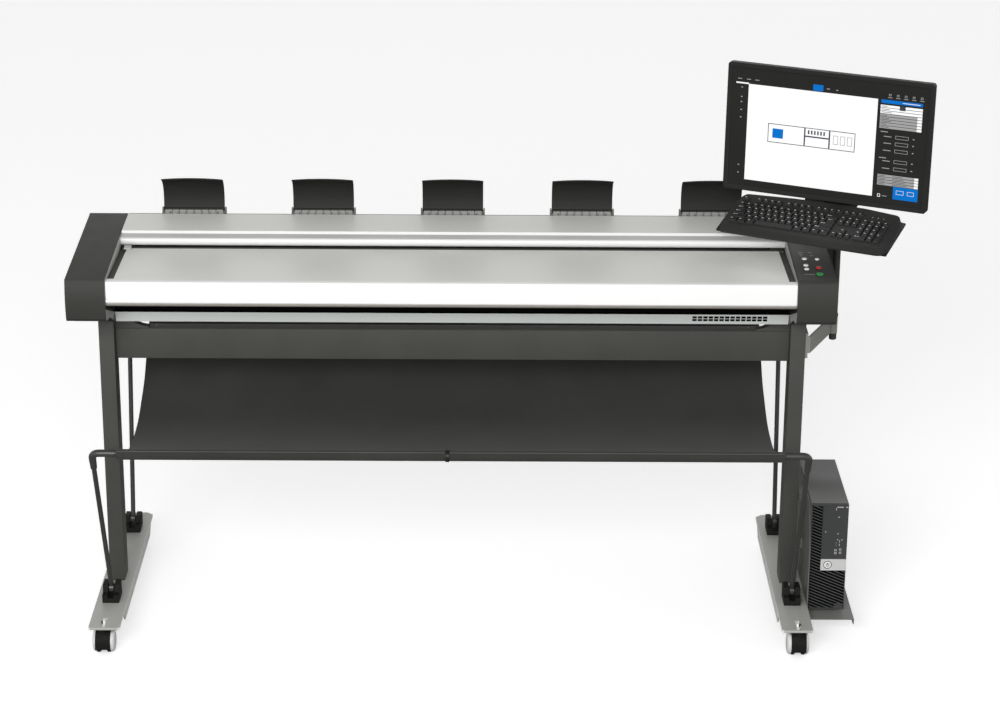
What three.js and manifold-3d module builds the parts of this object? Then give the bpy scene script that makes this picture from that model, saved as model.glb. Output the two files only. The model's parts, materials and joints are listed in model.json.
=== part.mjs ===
// Wide-format sheet-fed scanner on a wheeled stand, with a catch basket, a swivelling
// console (monitor and keyboard tray) and a small computer on a side shelf.
// Millimetres, +Z up. The operator stands on the -Y side. The floor is z = 0.

import * as THREE from 'three';
import { mergeVertices } from 'three/addons/utils/BufferGeometryUtils.js';
import Module from 'manifold-3d';

const wasm = await Module();
wasm.setup();

// ---------------------------------------------------------------- driving dimensions

const GAP = 0.3;                                  // air between neighbouring pieces
const SIDE_X = 867;                               // centre line of feet, legs and basket arms

const FOOT = { width: 73, front: -358, back: 373, top: 84.6, lip: 53, tipLip: 78, sheet: 3 };
const CASTER = {
  x: 869, frontY: -318, backY: 338, trail: 13, radius: 30, wheel: 19.5, span: 55, web: 5.5,
};
const LEG = { width: 38, front: -69, back: -4, top: 800 };
const BEAM = { front: -40, back: 0, bottom: 688, top: 767, sheet: 2.5 };

const PIVOT = { frontY: -176, backY: 264, z: 115, width: 37, depth: 60, slot: 13.4 };
const ARM = { rod: 6, elbow: 9.5 };
const FRONT_BAR = { y: -393, z: 573 };
const REAR_BAR = { y: 360, z: 690 };
const BAR_HALF = 811;                             // half the length of each basket bar
const FABRIC = { half: 808.5, thick: 2, sleeve: 12.4, sleeveInside: 10.2 };

const CAP = { inner: 837, outer: 934.5, front: -255, back: 210, wall: 3 };
const CAP_SIDE = [                                // side outline of an end cap, y and z
  [-255, 868], [-250, 860.5], [-190, 850], [-122, 815], [203, 811], [210, 817],
  [210, 988], [202, 995.5], [-253, 968], [-255, 965.5],
];
const CHASSIS_HALF = 836.6;
const BACK = 214;                                 // outer back face of the scanner's body
const TABLE_HALF = 819;                           // the silver table stops short of the caps
const TABLE_BACK = 28;
const NOSE_BACK = -229;                           // the nose in front of it fills the whole width
const LID = { front: 36, back: 206.5, bottom: 962, top: 990, backTop: 994.5, half: 836.2 };
const LID_PIN = { y: 203, z: 984, r: 3 };
const PLATEN = { top: 957, thick: 4 };
const ROLLER = { r: 12, frontY: 54, backY: 176, shaft: 5, half: 795 };
const GLASS = { y0: 94.4, y1: 135.6, half: 791 };
const MOTOR = { y: 115, z: 880, size: 42 };
const PULLEY = { x: -895, width: 8, driven: 11.5, drive: 9 };
const VENT = { x0: 596.7, pitch: 13.5, columns: 14, width: 11, height: 5 };

const GUIDE = { pitch: 332.5, width: 156, y: 222, z: 1001.5, knuckle: 4.5, pin: 2 };

const POST = { x: 975.3, y: 95, r: 9.7, bottom: 700, top: 1300 };
const CONSOLE_YAW = THREE.MathUtils.degToRad(25);
const KEYBOARD = { x: 885, y: -60, z: 1063.5, yaw: 27.5, slope: 17 };
const TRAY = { left: -227, right: 218, front: -67, back: 104, top: -18, thick: 5 };
const MONITOR = { x: 920.8, y: 0, z: 1262.6, width: 528, height: 324, tilt: 1.9 };

const PC = { x0: 907, x1: 999.6, front: -194, back: 98, z0: 71, z1: 361, bezel: 8 };
const SHELF = { x0: 904, x1: 1022, front: -235, back: 112, z: 60, sheet: 2.4, top: 352 };

// The scanner is drawn about x = 0. The origin of the finished part is on the floor, under
// the middle of the whole station, so every piece is moved by this much when it is placed.
const MIDDLE = { x: 118.3, y: -11.2 };

// ---------------------------------------------------------------- colours

const look = (color, roughness, metalness) => ({ color, roughness, metalness });
const DARK = look(0x4b4b46, 0.55, 0.3);
const CHARCOAL = look(0x2e2e2c, 0.6, 0.1);
const BLACK = look(0x1a1a19, 0.7, 0.0);
const LIGHT = look(0xbebeba, 0.45, 0.2);
const SILVER = look(0xc8c8c3, 0.35, 0.7);
const FABRIC_GREY = look(0x3c3c38, 0.95, 0.0);
const RUBBER = look(0x242422, 0.9, 0.0);
const STEEL = look(0x9a9a98, 0.35, 0.9);

// ---------------------------------------------------------------- solid helpers

// A manifold solid from any closed three.js geometry.
function solid(geometry) {
  geometry.deleteAttribute('normal');
  geometry.deleteAttribute('uv');
  const merged = mergeVertices(geometry, 1e-4);
  const mesh = new wasm.Mesh({
    numProp: 3,
    vertProperties: new Float32Array(merged.attributes.position.array),
    triVerts: new Uint32Array(merged.index.array),
  });
  return new wasm.Manifold(mesh);
}

const join = (...parts) => parts.flat().reduce((sum, part) => sum.add(part));
const cut = (body, ...tools) => body.subtract(join(...tools));

function box(x0, x1, y0, y1, z0, z1) {
  const geometry = new THREE.BoxGeometry(x1 - x0, y1 - y0, z1 - z0);
  geometry.translate((x0 + x1) / 2, (y0 + y1) / 2, (z0 + z1) / 2);
  return solid(geometry);
}

// A flat outline, with optional holes, pushed along one axis from a to b.
// Outline points are (y, z) for 'x', (x, z) for 'y' and (x, y) for 'z'.
function prism(axis, outline, a, b, holes = []) {
  const toPoints = (list) => list.map(([u, v]) => new THREE.Vector2(u, v));
  const shape = new THREE.Shape(toPoints(outline));
  shape.holes = holes.map((hole) => new THREE.Path(toPoints(hole)));
  const geometry = new THREE.ExtrudeGeometry(shape, { depth: b - a, bevelEnabled: false });
  const turn = new THREE.Matrix4();
  if (axis === 'x') {
    turn.set(0, 0, 1, a, 1, 0, 0, 0, 0, 1, 0, 0, 0, 0, 0, 1);
  } else if (axis === 'y') {
    turn.set(1, 0, 0, 0, 0, 0, -1, b, 0, 1, 0, 0, 0, 0, 0, 1);
  } else {
    turn.makeTranslation(0, 0, a);
  }
  geometry.applyMatrix4(turn);
  return solid(geometry);
}

// A regular polygon, turned so that it stands on a flat side.
function ring(u, v, r, sides) {
  return Array.from({ length: sides }, (_, i) => {
    const angle = ((i + 0.5) / sides) * 2 * Math.PI - Math.PI / 2;
    return [u + r * Math.cos(angle), v + r * Math.sin(angle)];
  });
}

const disc = (axis, u, v, r, a, b, sides = 16) => prism(axis, ring(u, v, r, sides), a, b);

// A straight round rod between two points.
function rod(from, to, r, sides = 12) {
  const start = new THREE.Vector3(...from);
  const end = new THREE.Vector3(...to);
  const along = end.clone().sub(start);
  const geometry = new THREE.CylinderGeometry(r, r, along.length(), sides);
  const turn = new THREE.Quaternion();
  turn.setFromUnitVectors(new THREE.Vector3(0, 1, 0), along.clone().normalize());
  geometry.applyQuaternion(turn);
  geometry.translate(...start.add(end).multiplyScalar(0.5).toArray());
  return solid(geometry);
}

function ball(center, r) {
  const geometry = new THREE.SphereGeometry(r, 12, 8);
  geometry.translate(...center);
  return solid(geometry);
}

// A flat strip of even thickness along a polyline, as a closed outline.
function strip(points, thick) {
  const normals = points.map((_, i) => {
    const [a, b] = [points[Math.max(i - 1, 0)], points[Math.min(i + 1, points.length - 1)]];
    const length = Math.hypot(b[0] - a[0], b[1] - a[1]);
    return [(a[1] - b[1]) / length, (b[0] - a[0]) / length];
  });
  const side = (sign) => points.map(([u, v], i) => [
    u + (sign * thick * normals[i][0]) / 2,
    v + (sign * thick * normals[i][1]) / 2,
  ]);
  return [...side(-1), ...side(1).reverse()];
}

const mirrorX = (part) => part.mirror([1, 0, 0]);

// ---------------------------------------------------------------- assembly

const assembly = new THREE.Group();
assembly.name = 'wide_format_scanner_station';

function place(name, body, { color, roughness, metalness }) {
  const pieces = body.decompose();
  if (pieces.length !== 1) {
    throw new Error(`${name} has ${pieces.length} bodies`);
  }
  const mesh = body.getMesh();
  const geometry = new THREE.BufferGeometry();
  geometry.setAttribute('position', new THREE.BufferAttribute(mesh.vertProperties, 3));
  geometry.setIndex(new THREE.BufferAttribute(mesh.triVerts, 1));
  geometry.translate(-MIDDLE.x, -MIDDLE.y, 0);
  const flat = geometry.toNonIndexed();
  flat.computeVertexNormals();
  const material = new THREE.MeshStandardMaterial({ color, roughness, metalness });
  const part = new THREE.Mesh(flat, material);
  part.name = name;
  assembly.add(part);
}

function placePair(name, right, material) {
  place(`${name}_right`, right, material);
  place(`${name}_left`, mirrorX(right), material);
}

// ---------------------------------------------------------------- stand

// Foot: a folded channel, open downward, with cut-away ends over the casters.
function foot() {
  const { width, front, back, top, lip, tipLip, sheet } = FOOT;
  const half = width / 2;
  const side = [
    [front, tipLip], [-259, tipLip], [-235, lip], [290, lip], [314, tipLip],
    [back, tipLip], [back, top], [front, top],
  ];
  const plan = [
    [-half, front + 4], [-half + 4, front], [half - 4, front], [half, front + 4],
    [half, back - 14], [half - 14, back], [-half + 14, back], [-half, back - 14],
  ];
  const shell = cut(
    prism('x', side, -half, half).intersect(prism('z', plan, 40, 90)),
    box(-half + sheet, half - sheet, front + sheet, back - sheet, 40, top - sheet),
  );
  const x = CASTER.x - SIDE_X;
  const slot = (y) => box(x - 4.5, x + 4.5, y - 26, y + 26, 70, 90);
  return cut(shell, slot(CASTER.frontY), slot(CASTER.backY)).translate([SIDE_X, 0, 0]);
}

// Leg: a hollow upright, flared backward at the top to carry the scanner, with a curved
// saddle that reaches inward along the cross beam.
function leg() {
  const { width, front, back, top } = LEG;
  const half = width / 2;
  const hollow = ([a, b, c, d]) => [[a, c], [b, c], [b, d], [a, d]];
  const upright = prism('z', hollow([-half, half, front, back]), FOOT.top + GAP, top, [
    hollow([-half + 3, half - 3, front + 3, back - 3]),
  ]);
  const flare = prism('x', [
    [back - 20, 735], [back - 20, top], [118, top], [96, 785], [back - 0.5, 735],
  ], -half, half);
  const plate = box(-half, half, front, 118, top - 0.5, 804.6);
  const baseInside = BEAM.top + GAP;
  const saddle = prism('y', [
    [-half + 1, baseInside], [-104, baseInside], [-104, baseInside + 3], [-86, 774],
    [-66, 783], [-48, 795], [-40, 804.6], [-half + 1, 804.6],
  ], BEAM.front + 4, -14);
  return join(upright, flare, plate, saddle).translate([SIDE_X, 0, 0]);
}

// Cross beam: a channel open toward the back, between the two uprights.
function beam() {
  const { front, back, bottom, top, sheet } = BEAM;
  const half = SIDE_X - LEG.width / 2 - GAP;
  return cut(
    box(-half, half, front, back, bottom, top),
    box(-half - 1, half + 1, front + sheet, back + 1, bottom + sheet, top - sheet),
  );
}

// Caster hood: a web between the twin wheels, a curved mudguard and a swivel stem.
function casterHood() {
  const { radius, span, trail, web: webHalf } = CASTER;
  const z = radius * Math.cos(Math.PI / 24);
  const half = span / 2;
  const arc = (r, from, to) => Array.from({ length: 9 }, (_, i) => {
    const angle = THREE.MathUtils.degToRad(from + ((to - from) * i) / 8);
    return [trail + r * Math.cos(angle), z + r * Math.sin(angle)];
  });
  const guard = prism('x', [...arc(35, 25, 200), ...arc(31.5, 200, 25)], -half, half);
  const web = prism('x', [...arc(33, 25, 200), [trail - 9, z - 8], [trail + 9, z - 8]],
    -webHalf, webHalf);
  const boss = disc('z', 0, 0, 13, 50, 74, 12);
  const clearance = join(
    disc('x', trail, z, 31.4, webHalf, half, 24),
    disc('x', trail, z, 31.4, -half, -webHalf, 24),
  );
  const stem = disc('z', 0, 0, 4, 73, 88, 12);
  const axleHole = disc('x', trail, z, 5.5, -webHalf - 1, webHalf + 1, 12);
  const body = cut(join(guard, web, boss), clearance, axleHole);
  return join(body, stem);
}

// Twin wheels on one axle. Each tread is a polygon standing on a flat side.
function casterWheels() {
  const { radius, wheel, span, trail } = CASTER;
  const z = radius * Math.cos(Math.PI / 24);
  const half = span / 2;
  const tread = (a, b) => disc('x', trail, z, radius, a, b, 24);
  return join(
    tread(half - wheel, half),
    tread(-half, -half + wheel),
    disc('x', trail, z, 5, -half + 1, half - 1, 12),
  );
}

placePair('foot', foot(), LIGHT);
placePair('leg', leg(), DARK);
place('cross_beam', beam(), DARK);
for (const [end, y] of [['front', CASTER.frontY], ['rear', CASTER.backY]]) {
  placePair(`caster_hood_${end}`, casterHood().translate([CASTER.x, y, 0]), BLACK);
  placePair(`caster_wheels_${end}`, casterWheels().translate([CASTER.x, y, 0]), LIGHT);
}

// ---------------------------------------------------------------- catch basket

// Pivot block: a fork standing on the foot, drilled for the arm's pin.
function pivotBlock(y) {
  const { width, depth, slot, z } = PIVOT;
  const base = FOOT.top + GAP;
  const half = depth / 2;
  const fork = prism('x', [
    [y - half, base], [y + half, base], [y + half, 127], [y + half - 4, 131], [y - 8, 131],
    [y - 11, 127], [y - 13, 108], [y - half, 106],
  ], -width / 2, width / 2);
  return cut(
    fork,
    box(-slot / 2, slot / 2, y - half - 1, y + half + 1, 98, 140),
    disc('x', y, z, 4.5, -12.5, 12.5, 12),
  ).translate([SIDE_X, 0, 0]);
}

// Basket arm: an eye and pin in the fork, a rod, and an elbow toward the bar.
function basketArm(pivotY, bar) {
  const foot = [0, pivotY, PIVOT.z];
  const knee = [0, bar.y, bar.z];
  const reach = Math.hypot(bar.y - pivotY, bar.z - PIVOT.z);
  const back = (mm) => foot.map((v, i) => knee[i] + ((v - knee[i]) * mm) / reach);
  const eye = join(
    disc('x', pivotY, PIVOT.z, 12, -6.2, 6.2),
    disc('x', pivotY, PIVOT.z, 4, -12, 12, 12),
  );
  return join(
    eye,
    rod(foot, back(20), ARM.rod),
    rod(back(46), knee, ARM.elbow),
    ball(knee, ARM.elbow),
    rod(knee, [BAR_HALF + GAP - SIDE_X, bar.y, bar.z], ARM.elbow),
  ).translate([SIDE_X, 0, 0]);
}

const basketBar = ({ y, z }) => rod([-BAR_HALF, y, z], [BAR_HALF, y, z], ARM.elbow);

// Catch fabric: a sling sewn into a sleeve round each bar.
function catchFabric() {
  const { half, thick, sleeve: outside, sleeveInside: inside } = FABRIC;
  const sleeve = ({ y, z }) => prism('x', ring(y, z, outside, 16), -half, half, [
    ring(y, z, inside, 16),
  ]);
  const sling = [
    [FRONT_BAR.y + 11.3, FRONT_BAR.z], [-374, 555], [-334, 539], [-250, 510], [-151, 491],
    [-60, 488], [22, 497], [95, 521], [170, 552], [225, 594], [290, 644],
    [REAR_BAR.y - 11.3, REAR_BAR.z],
  ];
  return join(
    sleeve(FRONT_BAR),
    prism('x', strip(sling, thick), -half, half),
    sleeve(REAR_BAR),
  );
}

placePair('basket_pivot_front', pivotBlock(PIVOT.frontY), BLACK);
placePair('basket_pivot_rear', pivotBlock(PIVOT.backY), BLACK);
placePair('basket_arm_front', basketArm(PIVOT.frontY, FRONT_BAR), CHARCOAL);
place('basket_bar_front', basketBar(FRONT_BAR), CHARCOAL);
const rearArm = basketArm(PIVOT.backY, REAR_BAR);
place('basket_frame_rear', join(rearArm, basketBar(REAR_BAR).scale([1.01, 1, 1]),
  mirrorX(rearArm)), CHARCOAL);
place('catch_fabric', catchFabric(), FABRIC_GREY);

// ---------------------------------------------------------------- scanner body

// Chassis: a long tray with a raked front fascia, end plates with bearing holes,
// and two rows of cooling slots at the right.
function chassis() {
  const half = CHASSIS_HALF;
  const end = half - 4;
  const tray = prism('x', [
    [-95, 805.6], [BACK, 805.6], [BACK, 948], [BACK - 3, 948], [BACK - 3, 808.6],
    [-92.6, 808.6], [-104.6, 832.5], [-92, 832.5], [-92, 900], [-95, 900], [-95, 835.5],
    [-109, 835.5],
  ], -half, half);
  const side = [[-95, 806], [BACK, 806], [BACK, 948], [-95, 948]];
  const slots = [];
  for (let column = 0; column < VENT.columns; column += 1) {
    const x = VENT.x0 + column * VENT.pitch;
    for (const z of [815.8, 824.2]) {
      slots.push(box(x, x + VENT.width, -112, -96, z, z + VENT.height));
    }
  }
  const bearing = (y) => disc('x', y, 945, ROLLER.shaft + 0.5, -half - 1, half + 1);
  return cut(
    join(tray, prism('x', side, end, half), prism('x', side, -half, -end)),
    slots,
    bearing(ROLLER.frontY),
    bearing(ROLLER.backY),
  );
}

// Right end cap: a hollow moulding with a service window in its inner wall, a bearing
// hole for the lid, a ledge beside the table and a raised control panel.
function endCapShell() {
  const { inner, outer, wall } = CAP;
  const center = [-20, 900];
  const shrink = CAP_SIDE.map(([y, z]) => [
    y + Math.sign(center[0] - y) * wall * 1.15,
    z + Math.sign(center[1] - z) * wall * 1.15,
  ]);
  const skin = cut(
    prism('x', CAP_SIDE, inner, outer),
    prism('x', shrink, inner + wall, outer - wall),
    box(inner - 1, inner + wall + 1, -92, 200, 812, 938),
    [ROLLER.frontY, ROLLER.backY].map((y) => box(inner - 1, inner + 4, y - 7, y + 7, 937, 952)),
    disc('x', LID_PIN.y, LID_PIN.z, LID_PIN.r + 0.4, inner - 1, inner + wall + 1, 12),
  );
  const ledge = prism('x', [
    [NOSE_BACK + GAP, 955.5], [TABLE_BACK, 953], [TABLE_BACK, 949], [NOSE_BACK + GAP, 951],
  ], TABLE_HALF + GAP, inner + 1);
  return join(skin, ledge);
}

// Fin on the right cap's outer side, which fills the gap in front of the console's post.
function postFin() {
  return box(CAP.outer - 1, POST.x - POST.r - 3, POST.y - 4, POST.y + 2, 840, 1010);
}

// Height of the caps' sloping top at a given depth.
const slopeAt = (y) => 968 + ((y + 253) * 27.5) / 455;

const BUTTONS = [
  { name: 'button_feed', x: 869, y: -97, r: 5.5, color: 0xe9e9e4 },
  { name: 'button_eject', x: 900, y: -99, r: 5.5, color: 0xe9e9e4 },
  { name: 'button_copy', x: 868, y: -140, r: 5, color: 0xe9e9e4 },
  { name: 'button_store', x: 867.5, y: -165, r: 5, color: 0xe9e9e4 },
  { name: 'button_stop', x: 898, y: -156, r: 5.5, color: 0xc23a2c },
  { name: 'button_start', x: 896, y: -198, r: 7, color: 0x3fae49 },
];

function button({ x, y, r }) {
  const z = slopeAt(y);
  return join(disc('z', x, y, r, z - 6, z + 1.6), disc('z', x, y, r + 1.6, z - 8, z - 5));
}

const buttonHoles = BUTTONS.map(({ x, y, r }) => {
  const z = slopeAt(y);
  return disc('z', x, y, r + 0.4, z - 5.5, z + 6);
});

const rightCap = cut(join(endCapShell(), postFin()), buttonHoles);
place('chassis', chassis(), SILVER);
place('end_cap_right', rightCap, CHARCOAL);
place('end_cap_left', mirrorX(endCapShell()), CHARCOAL);
for (const item of BUTTONS) {
  place(item.name, button(item), look(item.color, 0.4, 0));
}

// Feed table: one folded sheet, flat on top with a rounded nose and a turned-under lip.
// Only the nose reaches the end caps.
const TABLE = [
  [TABLE_BACK, 957], [-238, 962.5], [-249, 960], [-254, 952], [-255, 910], [-249, 901.5],
  [-230, 898], [-229.4, 900.4], [-247, 904], [-252.4, 911], [-251.6, 951], [-247.6, 957.6],
  [-238, 959.6], [TABLE_BACK, 954],
];
const NOSE_HALF = CHASSIS_HALF - 0.2;
place('feed_table', join(
  prism('x', TABLE, -TABLE_HALF, TABLE_HALF),
  prism('x', TABLE, -NOSE_HALF, NOSE_HALF).intersect(box(-900, 900, -260, NOSE_BACK, 890, 970)),
), SILVER);

// Platen: the plate under the lid, with windows for the rollers and the glass.
const platenWindow = (y0, y1) => box(-798, 798, y0, y1, 940, 970);
const platen = cut(
  box(-832, 832, TABLE_BACK + GAP, 200.6, PLATEN.top - PLATEN.thick, PLATEN.top),
  platenWindow(ROLLER.frontY - 13.5, ROLLER.frontY + 13.5),
  platenWindow(GLASS.y0 - 0.4, GLASS.y1 + 0.4),
  platenWindow(ROLLER.backY - 13.5, ROLLER.backY + 13.5),
);
place('platen', platen, DARK);

const glass = box(-GLASS.half, GLASS.half, GLASS.y0, GLASS.y1, 953.4, 956.7);
place('scan_glass', glass, look(0xbfd2cf, 0.08, 0.0));

const opticsOutline = [[92, 862], [138, 862], [138, 930], [124, 948], [106, 948], [92, 930]];
place('optics_bar', prism('x', opticsOutline, -785, 785), BLACK);

// Feed roller: a rubber-covered tube whose shaft carries the driven pulley.
function feedRoller(y) {
  const z = PLATEN.top - ROLLER.r * Math.cos(Math.PI / 16);
  const { x, width, driven } = PULLEY;
  return join(
    disc('x', y, z, ROLLER.r, -ROLLER.half, ROLLER.half),
    disc('x', y, z, ROLLER.shaft, x - width / 2 - 2, 835.6),
    disc('x', y, z, driven, x - width / 2, x + width / 2),
  );
}
place('feed_roller_front', feedRoller(ROLLER.frontY), RUBBER);
place('feed_roller_rear', feedRoller(ROLLER.backY), RUBBER);

const motorBody = cut(
  prism('x', [
    [MOTOR.y - 21, MOTOR.z - 15], [MOTOR.y - 15, MOTOR.z - 21], [MOTOR.y + 15, MOTOR.z - 21],
    [MOTOR.y + 21, MOTOR.z - 15], [MOTOR.y + 21, MOTOR.z + 15], [MOTOR.y + 15, MOTOR.z + 21],
    [MOTOR.y - 15, MOTOR.z + 21], [MOTOR.y - 21, MOTOR.z + 15],
  ], -884, -CHASSIS_HALF - GAP),
  disc('x', MOTOR.y, MOTOR.z, 3, -885, -868, 12),
);
place('drive_motor', motorBody, STEEL);
const pulleyLeft = PULLEY.x - PULLEY.width / 2;
place('motor_pulley', join(
  disc('x', MOTOR.y, MOTOR.z, PULLEY.drive, pulleyLeft, pulleyLeft + PULLEY.width),
  disc('x', MOTOR.y, MOTOR.z, 2.5, pulleyLeft, -869, 12),
), STEEL);

// Drive belt: a closed band round the two roller pulleys and the motor pulley.
function driveBelt() {
  const z = PLATEN.top - ROLLER.r * Math.cos(Math.PI / 16);
  const wheels = [
    [ROLLER.frontY, z, PULLEY.driven],
    [ROLLER.backY, z, PULLEY.driven],
    [MOTOR.y, MOTOR.z, PULLEY.drive],
  ];
  const hull = (extra) => {
    const points = wheels.flatMap(([u, v, r]) => ring(u, v, r + extra, 24));
    return convexHull(points);
  };
  const { x, width } = PULLEY;
  return prism('x', hull(2.4), x - width / 2 + 0.5, x + width / 2 - 0.5, [hull(0.7)]);
}

// Counter-clockwise convex outline of a set of points.
function convexHull(points) {
  const sorted = [...points].sort((p, q) => p[0] - q[0] || p[1] - q[1]);
  const turn = (o, a, b) => (a[0] - o[0]) * (b[1] - o[1]) - (a[1] - o[1]) * (b[0] - o[0]);
  const chain = (list) => {
    const out = [];
    for (const point of list) {
      while (out.length > 1 && turn(out.at(-2), out.at(-1), point) <= 1e-6) {
        out.pop();
      }
      out.push(point);
    }
    return out.slice(0, -1);
  };
  return [...chain(sorted), ...chain(sorted.reverse())];
}
place('drive_belt', driveBelt(), BLACK);

// Control board behind the buttons, upright in the right end cap.
place('control_board', box(872, 873.6, -60, 170, 825, 935), look(0x2f6b4a, 0.6, 0.1));

// ---------------------------------------------------------------- lid and paper guides

// Lid: a hollow cover with a rounded front lip, hinged on two pins at its rear corners.
function scanLid() {
  const { front, back, bottom, top, backTop, half } = LID;
  const outer = [
    [front + 5, bottom], [back, bottom], [back, backTop - 6], [back - 3.5, backTop], [72, top],
    [57, 984.8], [42, 982.4], [38, 979], [front, 973], [front + 1, 965],
  ];
  const inner = [
    [front + 8, bottom + 3], [back - 3, bottom + 3], [back - 3, backTop - 9], [back - 5, backTop - 4],
    [73, top - 3], [58, 981.8], [44, 979.4], [41, 977], [front + 3.2, 972],
  ];
  const endPlate = (a, b) => prism('x', outer, a, b);
  const pin = disc('x', LID_PIN.y, LID_PIN.z, LID_PIN.r, half - 1, CAP.inner + 3, 12);
  const idlerWindow = (x, y) => box(x - 40, x + 40, y - 8, y + 8, bottom - 1, bottom + 4);
  const windows = [-600, -300, 0, 300, 600].flatMap((x) => [
    idlerWindow(x, ROLLER.frontY + 6),
    idlerWindow(x, ROLLER.backY),
  ]);
  return cut(join(
    prism('x', outer, -half, half, [inner]),
    endPlate(half - 3, half),
    endPlate(-half, -half + 3),
    pin,
    mirrorX(pin),
  ), windows);
}
place('scan_lid', scanLid(), look(0xbcbbb5, 0.4, 0.3));

// Rear cover: a rail between the caps, above the gap the sheet runs out through. It
// carries the toothed hinge bases of the paper guides.
function rearCover() {
  const { pitch, width, y, z, knuckle, pin } = GUIDE;
  const rail = prism('x', [
    [210.6, 966], [BACK, 966], [BACK, 992], [208.4, 992], [208.4, 980], [210.6, 980],
  ], -CHASSIS_HALF, CHASSIS_HALF);
  const parts = [rail];
  const holes = [];
  for (let i = -2; i <= 2; i += 1) {
    const x = i * pitch - 3;
    const half = width / 2;
    parts.push(box(x - half - 4.5, x + half + 4.5, 213, y + 6, 988, z - knuckle - 0.8));
    for (const side of [-1, 1]) {
      const ear = x + side * (half + 2.6);
      parts.push(box(ear - 1.9, ear + 1.9, y - 5, y + 5, 990, z + 5));
      holes.push(disc('x', y, z, pin + 0.4, ear - 3, ear + 3, 12));
    }
    for (let tooth = -3; tooth <= 3; tooth += 1) {
      parts.push(box(x + tooth * 20.3 - 3, x + tooth * 20.3 + 3, 209, 213.5, 991, 999));
    }
  }
  return cut(join(parts), holes);
}
place('rear_cover', rearCover(), LIGHT);

// Paper guide: a thin upright blade that curls forward at the top.
function paperGuide(x) {
  const { width, y, z, knuckle, pin } = GUIDE;
  const half = width / 2;
  const blade = strip([
    [y, z + 1], [y + 2, 1014], [y + 3, 1034], [y - 2, 1056], [y - 14, 1075], [y - 33, 1090],
    [y - 55, 1099],
  ], 3);
  return join(
    disc('x', y, z, knuckle, -half, half, 12),
    prism('x', blade, -half, half),
    disc('x', y, z, pin, -half - 4, half + 4, 12),
  ).translate([x, 0, 0]);
}
for (let i = -2; i <= 2; i += 1) {
  place(`paper_guide_${i + 3}`, paperGuide(i * GUIDE.pitch - 3), CHARCOAL);
}

// ---------------------------------------------------------------- computer and shelf

// Shelf: a folded sheet with an upright plate beside the leg and a tray under the case.
function pcShelf() {
  const { x0, x1, front, back, z, sheet, top } = SHELF;
  const upright = prism('x', [
    [-205, z], [90, z], [90, top - 20], [70, top], [-150, top], [-170, top - 20], [-205, 240],
  ], x0, x0 + sheet);
  const spacer = (height) => box(
    SIDE_X + LEG.width / 2 + GAP, x0 + 0.5, LEG.front + 10, LEG.back - 10, height, height + 20,
  );
  return join(
    upright,
    box(x0, x1, front, back, z, z + sheet),
    box(x1 - sheet, x1, front, back, z - 12, z + 1),
    spacer(180),
    spacer(315),
  );
}
place('pc_shelf', pcShelf(), DARK);

const pcPad = (x, y) => box(x - 8, x + 8, y - 8, y + 8, SHELF.z + SHELF.sheet + GAP, PC.z0 + 1);
place('pc_case', join(
  box(PC.x0, PC.x1, PC.front + PC.bezel + GAP, PC.back, PC.z0, PC.z1),
  [PC.x0 + 16, PC.x1 - 16].flatMap((x) => [pcPad(x, -160), pcPad(x, 75)]),
), look(0x646462, 0.55, 0.3));

const POWER = { x: 953, z: 194.5, r: 10 };
place('pc_bezel', cut(
  box(PC.x0, PC.x1, PC.front, PC.front + PC.bezel, PC.z0, PC.z1 - 1),
  disc('y', POWER.x, POWER.z, POWER.r + 0.5, PC.front - 1, PC.front + 5),
), BLACK);
place('pc_power_button', disc(
  'y', POWER.x, POWER.z, POWER.r, PC.front - 1, PC.front + 3.4,
), SILVER);

// ---------------------------------------------------------------- console

// Bracket: a plate on the leg, a flat bar running back and outward, and a collar that is
// open on its outer side.
function consoleBracket() {
  const near = SIDE_X + LEG.width / 2 + GAP;
  const { x, y, r } = POST;
  const plate = box(near, near + 6, LEG.front + 2, LEG.back - 2, 706, 772);
  const bar = prism('z', strip([
    [near + 3, LEG.front + 8], [near + 9, LEG.front + 5], [x - 10, y - 9],
  ], 6), 719, 762);
  const collar = disc('z', x, y, r + 4, 719, 762, 20);
  const flush = box(x + r, x + r + 10, y - 40, y + 40, 700, 780);
  return cut(join(plate, bar, collar), disc('z', x, y, r + 0.5, 700, 780, 20), flush);
}
place('console_bracket', consoleBracket(), DARK);

// The post turns in the collar and rests on it by a shoulder.
function consolePost() {
  const { x, y, r, bottom, top } = POST;
  return join(
    disc('z', x, y, r, bottom, top, 20),
    disc('z', x, y, r + 2, 762 + GAP, 770, 20),
  );
}
place('console_post', consolePost(), look(0x55554f, 0.4, 0.6));

// Matrix of a panel whose local X runs to the right, Y up the panel, Z out of its face.
function panelFrame({ x, y, z }, yaw, lean) {
  const matrix = new THREE.Matrix4().makeTranslation(x, y, z);
  matrix.multiply(new THREE.Matrix4().makeRotationZ(-yaw));
  return matrix.multiply(new THREE.Matrix4().makeRotationX(Math.PI / 2 - lean));
}
const inFrame = (body, matrix) => body.transform(matrix.elements);
const rad = THREE.MathUtils.degToRad;

const keyFrame = panelFrame(KEYBOARD, rad(KEYBOARD.yaw), rad(90 - KEYBOARD.slope));
const monitorFrame = panelFrame(MONITOR, CONSOLE_YAW, rad(MONITOR.tilt));

// Tray: a flat plate with a low stop behind the keyboard, in the keyboard's own frame.
const TRAY_UNDERSIDE = TRAY.top - TRAY.thick;
const trayBody = join(
  prism('z', [
    [TRAY.left, TRAY.front], [TRAY.right, TRAY.front], [TRAY.right, 78], [60, TRAY.back],
    [-60, TRAY.back], [TRAY.left, 70],
  ], TRAY_UNDERSIDE, TRAY.top),
  box(-60, 60, TRAY.back - 2.6, TRAY.back, TRAY.top - 1, TRAY.top + 6),
);
place('keyboard_tray', inFrame(trayBody, keyFrame), CHARCOAL);

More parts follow.
